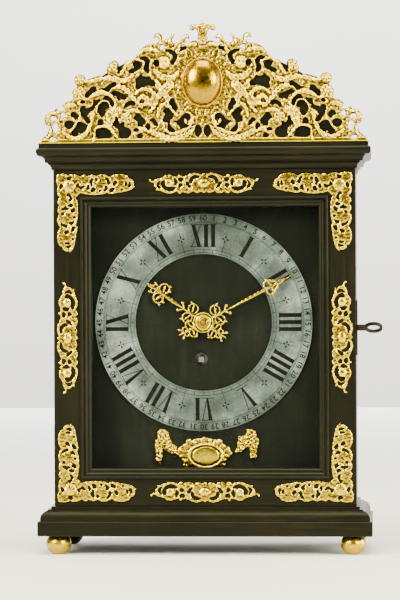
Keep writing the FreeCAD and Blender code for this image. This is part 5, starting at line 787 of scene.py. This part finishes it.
# The festoons: leaves and fruit, read on the photograph enlarged, each with a drop and a side branch
DIAL_ENLARGED = 12.06
DIAL_CORNER_PX = (140.0, 420.0)
RING_CENTRE_PX = (203.6, 322.3)
DIAL_MM = 0.908
FESTOONS_ENLARGED = [
    [(205, 125), (240, 112), (300, 115), (335, 150), (335, 200), (365, 240), (385, 290), (440, 320),
     (460, 385), (420, 420), (370, 420), (320, 385), (270, 350), (250, 370), (265, 430), (255, 490),
     (235, 550), (200, 515), (175, 490), (185, 420), (190, 350), (165, 310), (170, 250), (195, 220),
     (195, 170)],
    [(1275, 115), (1340, 110), (1405, 140), (1410, 200), (1435, 250), (1430, 300), (1390, 350), (1385, 380),
     (1415, 440), (1390, 475), (1330, 470), (1310, 430), (1330, 370), (1310, 330), (1270, 350), (1220, 395),
     (1160, 405), (1130, 390), (1160, 340), (1220, 300), (1260, 250), (1240, 215), (1180, 215), (1180, 195),
     (1245, 190), (1275, 160)],
]
festoon_low, festoon_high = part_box("dial_festoons")
bm = bmesh.new()
for outline in FESTOONS_ENLARGED:
    corners = []
    for x, z in outline:
        across = DIAL_CORNER_PX[0] + x / DIAL_ENLARGED - RING_CENTRE_PX[0]
        down = DIAL_CORNER_PX[1] + z / DIAL_ENLARGED - RING_CENTRE_PX[1]
        spot = (RING.x + across * DIAL_MM * MM, festoon_low.y, RING.z - down * DIAL_MM * MM)
        corners.append(bm.verts.new(spot))
    bm.faces.new(corners)
bmesh.ops.triangulate(bm, faces=bm.faces[:])
bm, behind = plate(bm, step=0.4 * MM)
front, back = festoon_low.y, festoon_high.y
chased(bm, behind, front, back, low=0.9 * MM, high=0.8 * MM, width=2.2 * MM, motif=berries)
gilt_piece(bm, "chased_dial_festoons", "case", "dial_festoons")

# The finial: two volutes on a leafed bell
chased_node("cresting_finial", "case", step=0.4 * MM, low=1.0 * MM, high=1.4 * MM, width=2.0 * MM)

# The cartouche: scrolled frame round a plain oval shield, whose inscription is left off
SHIELD = Vector((-1.0, 0, 87.0)) * MM
SHIELD_HALF = Vector((13.4, 0, 9.2)) * MM
SHIELD_FOOT, SHIELD_DOME, SHIELD_GROOVE, GROOVE_REACH = 0.75, 0.4, 0.45, 0.1
BEAD_OUT, BEAD_HEIGHT = 1.14, 0.5
LEAVES_OUT, LEAVES_ROUND, LEAF_SWELL, LEAF_DROP = 1.28, 18, 0.35, 0.15


def shield(place, reach, share):
    """The cartouche's height: a domed oval in a groove, a bead round it and leaves outside."""
    across = (place.x - SHIELD.x) / SHIELD_HALF.x
    rise = (place.z - SHIELD.z) / SHIELD_HALF.z
    out = math.hypot(across, rise)
    if out < 1:
        groove = SHIELD_GROOVE * math.exp(-((1 - out) / GROOVE_REACH) ** 2)
        return SHIELD_FOOT + SHIELD_DOME * dome(out) - groove
    height = share + BEAD_HEIGHT * math.exp(-((out - BEAD_OUT) / GROOVE_REACH) ** 2)
    if out > LEAVES_OUT:
        leaf = wave(LEAVES_ROUND * math.atan2(rise, across))
        height += (LEAF_SWELL * leaf - LEAF_DROP) * reach
    return height


def back_of(node):
    """The flat back of a CAD node, which has its outline, with its front and back depths."""
    bm = bmesh.new()
    bm.from_mesh(nodes[node].data)
    bmesh.ops.remove_doubles(bm, verts=bm.verts[:], dist=SAME_PLACE)
    front = min(v.co.y for v in bm.verts)
    back = max(v.co.y for v in bm.verts)
    nearer = [f for f in bm.faces if min(v.co.y for v in f.verts) < back - SAME_DEPTH]
    bmesh.ops.delete(bm, geom=nearer, context="FACES")
    return bm, front, back


bm, front, back = back_of("dial_cartouche")
bm, behind = plate(bm, step=0.45 * MM)
chased(bm, behind, front, back, low=1.7 * MM, high=0.3 * MM, width=2.2 * MM, motif=shield)
gilt_piece(bm, "chased_cartouche", "case", "dial_cartouche")

# The ring's engraving, filled with wax: numerals, minute figures, half-hour crosses, ticks and circles
WAX = 0.12 * MM
CIRCLE_SIDES = 240
engraved = bmesh.new()


def turned(angle):
    """A place on the ring's front, for what is drawn upright at twelve, turned clockwise."""
    return Matrix.Translation(RING) @ Matrix.Rotation(angle, 4, "Y")


def bar(points, spot):
    """A flat convex stroke through points (across, out) in millimetres."""
    corners = [engraved.verts.new(spot @ Vector((x * MM, -WAX, z * MM))) for x, z in points]
    engraved.faces.new(corners)


def block(half, low, high, spot, middle=0.0):
    """An upright oblong stroke."""
    left, right = middle - half, middle + half
    bar([(left, low), (left, high), (right, high), (right, low)], spot)


def slant(top_left, top_right, foot_right, foot_left, spot):
    """A stroke of a numeral from its top to its foot."""
    low, high = NUMERAL_LOW, NUMERAL_HIGH
    bar([(top_left, high), (top_right, high), (foot_right, low), (foot_left, low)], spot)


def circle(radius, width):
    """A thin ring line, in short straight strokes."""
    low, high = radius - width / 2, radius + width / 2
    reach = math.pi / CIRCLE_SIDES
    ends = ((-reach, low), (-reach, high), (reach, high), (reach, low))
    corners = [(math.sin(t) * r, math.cos(t) * r) for t, r in ends]
    for index in range(CIRCLE_SIDES):
        bar(corners, turned(index * 2 * reach))


# Letters, in millimetres: room for each, strokes, the feet of a V and how far a serif stops short
NUMERAL_LOW, NUMERAL_HIGH = 68.6, 89.4
STROKES = {"I": 6.4, "V": 11.6, "X": 11.6}
THICK, THIN, SERIF = 3.7, 0.7, 0.7
LETTER_GAP, SERIF_GAP = 1.0, 0.35
THICK_FOOT, THIN_FOOT = (0.9, -0.6), (0.6, -0.2)


def numeral(letters, spot):
    """Roman letters with thick and thin strokes, feet to the middle, closed by thin serif lines."""
    left = -sum(STROKES[letter] for letter in letters) / 2
    for letter in letters:
        middle = left + STROKES[letter] / 2
        half = STROKES[letter] / 2 - LETTER_GAP
        start, end = middle - half, middle + half
        if letter == "I":
            block(THICK / 2, NUMERAL_LOW, NUMERAL_HIGH, spot, middle)
        if letter == "V":
            slant(start, start + THICK, middle + THICK_FOOT[0], middle + THICK_FOOT[1], spot)
            slant(end - THIN, end, middle + THIN_FOOT[0], middle + THIN_FOOT[1], spot)
        if letter == "X":
            slant(start, start + THICK, end, end - THICK, spot)
            slant(end - THIN, end, start + THIN, start, spot)
        for level in (NUMERAL_LOW, NUMERAL_HIGH - SERIF):
            block(STROKES[letter] / 2 - SERIF_GAP, level, level + SERIF, spot, middle)
        left += STROKES[letter]


# Crosses, ticks and circles, in millimetres from the ring's middle
CROSS_OUT = 78.0
CROSS_PETAL = [(0.0, 0.5), (-0.85, 2.1), (0.0, 3.7), (0.85, 2.1)]
CROSS_STALKS = [(66.6, 74.4), (81.6, 84.4)]
STALK_HALF, TICK_HALF = 0.2, 0.25
TICK_LOW, TICK_HIGH = 63.9, 66.4
CIRCLES = [(63.6, 0.35), (66.6, 0.45), (90.7, 0.4), (91.7, 0.3), (97.9, 0.3)]
HOURS = ["XII", "I", "II", "III", "IIII", "V", "VI", "VII", "VIII", "IX", "X", "XI"]
for hour, letters in enumerate(HOURS):
    numeral(letters, turned(hour * math.pi / 6))
    spot = turned((hour + 0.5) * math.pi / 6)
    for quarter in range(4):
        cross = spot @ Matrix.Translation((0, 0, CROSS_OUT * MM))
        bar(CROSS_PETAL, cross @ Matrix.Rotation(quarter * math.pi / 2, 4, "Y"))
    for low, high in CROSS_STALKS:
        block(STALK_HALF, low, high, spot)
for quarter in range(48):
    block(TICK_HALF, TICK_LOW, TICK_HIGH, turned(quarter * math.pi / 24))
for radius, width in CIRCLES:
    circle(radius, width)
bmesh.ops.recalc_face_normals(engraved, faces=engraved.faces[:])
raised = bmesh.ops.extrude_face_region(engraved, geom=engraved.faces[:])["geom"]
bmesh.ops.translate(engraved, vec=(0, WAX, 0), verts=[v for v in raised if isinstance(v, bmesh.types.BMVert)])
bmesh.ops.recalc_face_normals(engraved, faces=engraved.faces[:])
piece(engraved, "engraved_numerals", INK, "case")

FIGURE_SIZE, FIGURE_WEIGHT, FIGURE_OUT = 7.0 * MM, 0.13 * MM, 94.8 * MM
upright_figure = Matrix.Rotation(math.pi / 2, 4, "X")
outward = Matrix.Translation((0, -WAX / 2, FIGURE_OUT))
figures = bmesh.new()
for minute in range(1, 61):
    letters = bpy.data.curves.new("figure", "FONT")
    letters.body = str(minute)
    letters.align_x = "CENTER"
    letters.align_y = "CENTER"
    letters.size = FIGURE_SIZE
    letters.offset = FIGURE_WEIGHT
    letters.extrude = WAX / 2
    letters.resolution_u = 3
    shown = bpy.data.objects.new("figure", letters)
    bpy.context.scene.collection.objects.link(shown)
    flat = bpy.data.meshes.new_from_object(shown.evaluated_get(bpy.context.evaluated_depsgraph_get()))
    flat.transform(turned(minute * math.pi / 30) @ outward @ upright_figure)
    figures.from_mesh(flat)
    bpy.data.objects.remove(shown)
    bpy.data.meshes.remove(flat)
    bpy.data.curves.remove(letters)
piece(figures, "engraved_figures", INK, "case")

# The boss: a burnished dome in a beaded rim, drawn at unit radius and then stretched to an oval
BOSS_HALF = Vector((16.6, 9.0, 20.4)) * MM
RIM_DEPTH = 2.0 * MM
RIM_STEPS, RIM_WELD = 120, 1e-5
BEADS, BEAD_RING = 60, 1.055
BEAD_SIZE, BEAD_LIFT = Vector((0.028, 0.6 * MM, 0.025)), 0.8 * MM
# The rim's section: share of the boss's radius, and depth in millimetres
PROFILE = [(1.0, 2.0), (1.0, -0.2), (1.02, -0.7), (1.05, -0.9), (1.08, -0.7), (1.1, -0.2), (1.1, 2.0)]
boss_low, boss_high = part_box("cresting_boss")
boss_place = (0, boss_high.y - RIM_DEPTH, (boss_low.z + boss_high.z) / 2)
bm = bmesh.new()
bmesh.ops.create_uvsphere(bm, u_segments=96, v_segments=48, radius=1.0)
bmesh.ops.rotate(bm, cent=(0, 0, 0), matrix=Matrix.Rotation(math.pi / 2, 3, "X"), verts=bm.verts[:])
halved(bm, (0, 1, 0))
bmesh.ops.scale(bm, vec=BOSS_HALF, verts=bm.verts[:])
bmesh.ops.translate(bm, vec=boss_place, verts=bm.verts[:])
bmesh.ops.holes_fill(bm, edges=[e for e in bm.edges if e.is_boundary])
smooth(bm)
piece(bm, "boss_dome", GILT_POLISHED, "case", ["cresting_boss"])
bm = bmesh.new()
corners = [bm.verts.new(Vector((share, depth * MM, 0))) for share, depth in PROFILE]
edges = [bm.edges.new(pair) for pair in zip(corners, corners[1:] + corners[:1])]
bmesh.ops.spin(
    bm, geom=corners + edges, cent=(0, 0, 0), axis=(0, 1, 0), angle=math.tau, steps=RIM_STEPS, use_merge=True
)
bmesh.ops.remove_doubles(bm, verts=bm.verts[:], dist=RIM_WELD)
for index in range(BEADS):
    angle = math.tau * index / BEADS
    bead = bmesh.ops.create_icosphere(bm, subdivisions=2, radius=1.0)["verts"]
    spot = (BEAD_RING * math.sin(angle), -BEAD_LIFT, BEAD_RING * math.cos(angle))
    bmesh.ops.scale(bm, vec=BEAD_SIZE, verts=bead)
    bmesh.ops.translate(bm, vec=spot, verts=bead)
bmesh.ops.scale(bm, vec=(BOSS_HALF.x, 1, BOSS_HALF.z), verts=bm.verts[:])
bmesh.ops.translate(bm, vec=boss_place, verts=bm.verts[:])
bmesh.ops.recalc_face_normals(bm, faces=bm.faces[:])
smooth(bm)
piece(bm, "boss_rim", GILT, "case")

# Velvet: one cloth glued flat over the dial plate, with its holes and slight slack
SLACK, SLACK_SIZE = 0.12 * MM, 11 * MM
bm, front, back = front_of("dial_velvet", everywhere)
sliced(bm, step=4.0 * MM)
for vert in bm.verts:
    vert.co.y += SLACK * field.noise(vert.co / SLACK_SIZE) + SLACK
rim = [e for e in bm.edges if e.is_boundary]
pushed = bmesh.ops.extrude_edge_only(bm, edges=rim)["geom"]
for vert in pushed:
    if isinstance(vert, bmesh.types.BMVert):
        vert.co.y = back
rear = [e for e in pushed if isinstance(e, bmesh.types.BMEdge)]
bmesh.ops.triangle_fill(bm, use_beauty=False, use_dissolve=False, edges=rear, normal=(0, 1, 0))
bmesh.ops.recalc_face_normals(bm, faces=bm.faces[:])
smooth(bm)
cloth = piece(bm, "velvet_cloth", VELVET, "case", ["dial_velvet"])

# Camera at the photograph's view, from points of the case read off the picture
CAMERA_PLACE = Vector((0.15744, -2.5, 0.22819))
CAMERA_YAW, CAMERA_PITCH, CAMERA_ROLL = -0.0658, 0.0003, -0.0044
FOCAL_PIXELS = 2724.0
PICTURE_HEIGHT = 600.0
SENSOR = 36.0
floor_share = math.cos(CAMERA_PITCH)
sideways, inward = math.sin(CAMERA_YAW) * floor_share, math.cos(CAMERA_YAW) * floor_share
ahead = Vector((sideways, inward, math.sin(CAMERA_PITCH)))
level = Vector((math.cos(CAMERA_YAW), -math.sin(CAMERA_YAW), 0))
upright = level.cross(ahead)
right = level * math.cos(CAMERA_ROLL) + upright * math.sin(CAMERA_ROLL)
up = upright * math.cos(CAMERA_ROLL) - level * math.sin(CAMERA_ROLL)
lens = bpy.data.cameras.new("camera")
lens.sensor_width = SENSOR
lens.lens = FOCAL_PIXELS / PICTURE_HEIGHT * SENSOR
camera = bpy.data.objects.new("camera", lens)
bpy.context.scene.collection.objects.link(camera)
camera.matrix_world = Matrix.Translation(CAMERA_PLACE) @ Matrix((right, up, -ahead)).transposed().to_4x4()
bpy.context.scene.camera = camera

# Stage: pale table and wall, a dark card that the boss reflects, and soft boxes left, right and above
FLOOR_LOOK = plain("pale_table", "#ebecec", 0.9, 400.0)
WALL_LOOK = plain("pale_wall", "#eeede5", 0.95, 900.0)
CARD_LOOK = plain("dark_card", "#15130f", 0.95, 900.0)
TABLE_SIDE, TABLE_EDGE = 12.0, 3.3
for name, look, size, turn, place in (
    ("table", FLOOR_LOOK, (TABLE_SIDE, TABLE_SIDE), 0.0, (0, TABLE_EDGE - TABLE_SIDE / 2, 0)),
    ("wall", WALL_LOOK, (30.0, 20.0), math.pi / 2, (0, 6.0, 0)),
    ("dark_card", CARD_LOOK, (3.4, 3.0), math.pi / 2, (0.2, -4.6, 0.6)),
):
    bm = bmesh.new()
    bmesh.ops.create_grid(bm, x_segments=1, y_segments=1, size=0.5)
    bmesh.ops.scale(bm, vec=(size[0], size[1], 1), verts=bm.verts[:])
    bmesh.ops.rotate(bm, cent=(0, 0, 0), matrix=Matrix.Rotation(turn, 3, "X"), verts=bm.verts[:])
    bmesh.ops.translate(bm, vec=place, verts=bm.verts[:])
    mesh = bpy.data.meshes.new(name)
    bm.to_mesh(mesh)
    bm.free()
    mesh.materials.append(look)
    made = bpy.data.objects.new(name, mesh)
    bpy.context.scene.collection.objects.link(made)

world = bpy.data.worlds.new("studio")
world.use_nodes = True
world.node_tree.nodes["Background"].inputs["Color"].default_value = linear("#e8e9ea")
world.node_tree.nodes["Background"].inputs["Strength"].default_value = 0.6
bpy.context.scene.world = world
WARM, WHITE = "#fffad4", "#ffffff"
for name, power, tone, size, place, aim in (
    ("box_left", 165.0, WARM, 1.0, (-1.6, -1.6, 1.3), (0, 0, 0.25)),
    ("box_right", 95.0, WARM, 0.9, (1.7, -1.5, 0.9), (0, 0, 0.25)),
    ("box_side", 45.0, WARM, 1.0, (1.5, 0.1, 0.4), (0, 0, 0.25)),
    ("box_above", 90.0, WARM, 1.4, (0, -0.5, 2.0), (0, 0, 0.2)),
    ("wall_light", 760.0, WHITE, 3.0, (0, 3.6, 3.6), (0, 6.0, 0.9)),
):
    lamp = bpy.data.lights.new(name, "AREA")
    lamp.energy = power
    lamp.color = linear(tone)[:3]
    lamp.size = size
    holder = bpy.data.objects.new(name, lamp)
    bpy.context.scene.collection.objects.link(holder)
    holder.location = place
    holder.rotation_euler = (Vector(aim) - Vector(place)).to_track_quat("-Z", "Y").to_euler()
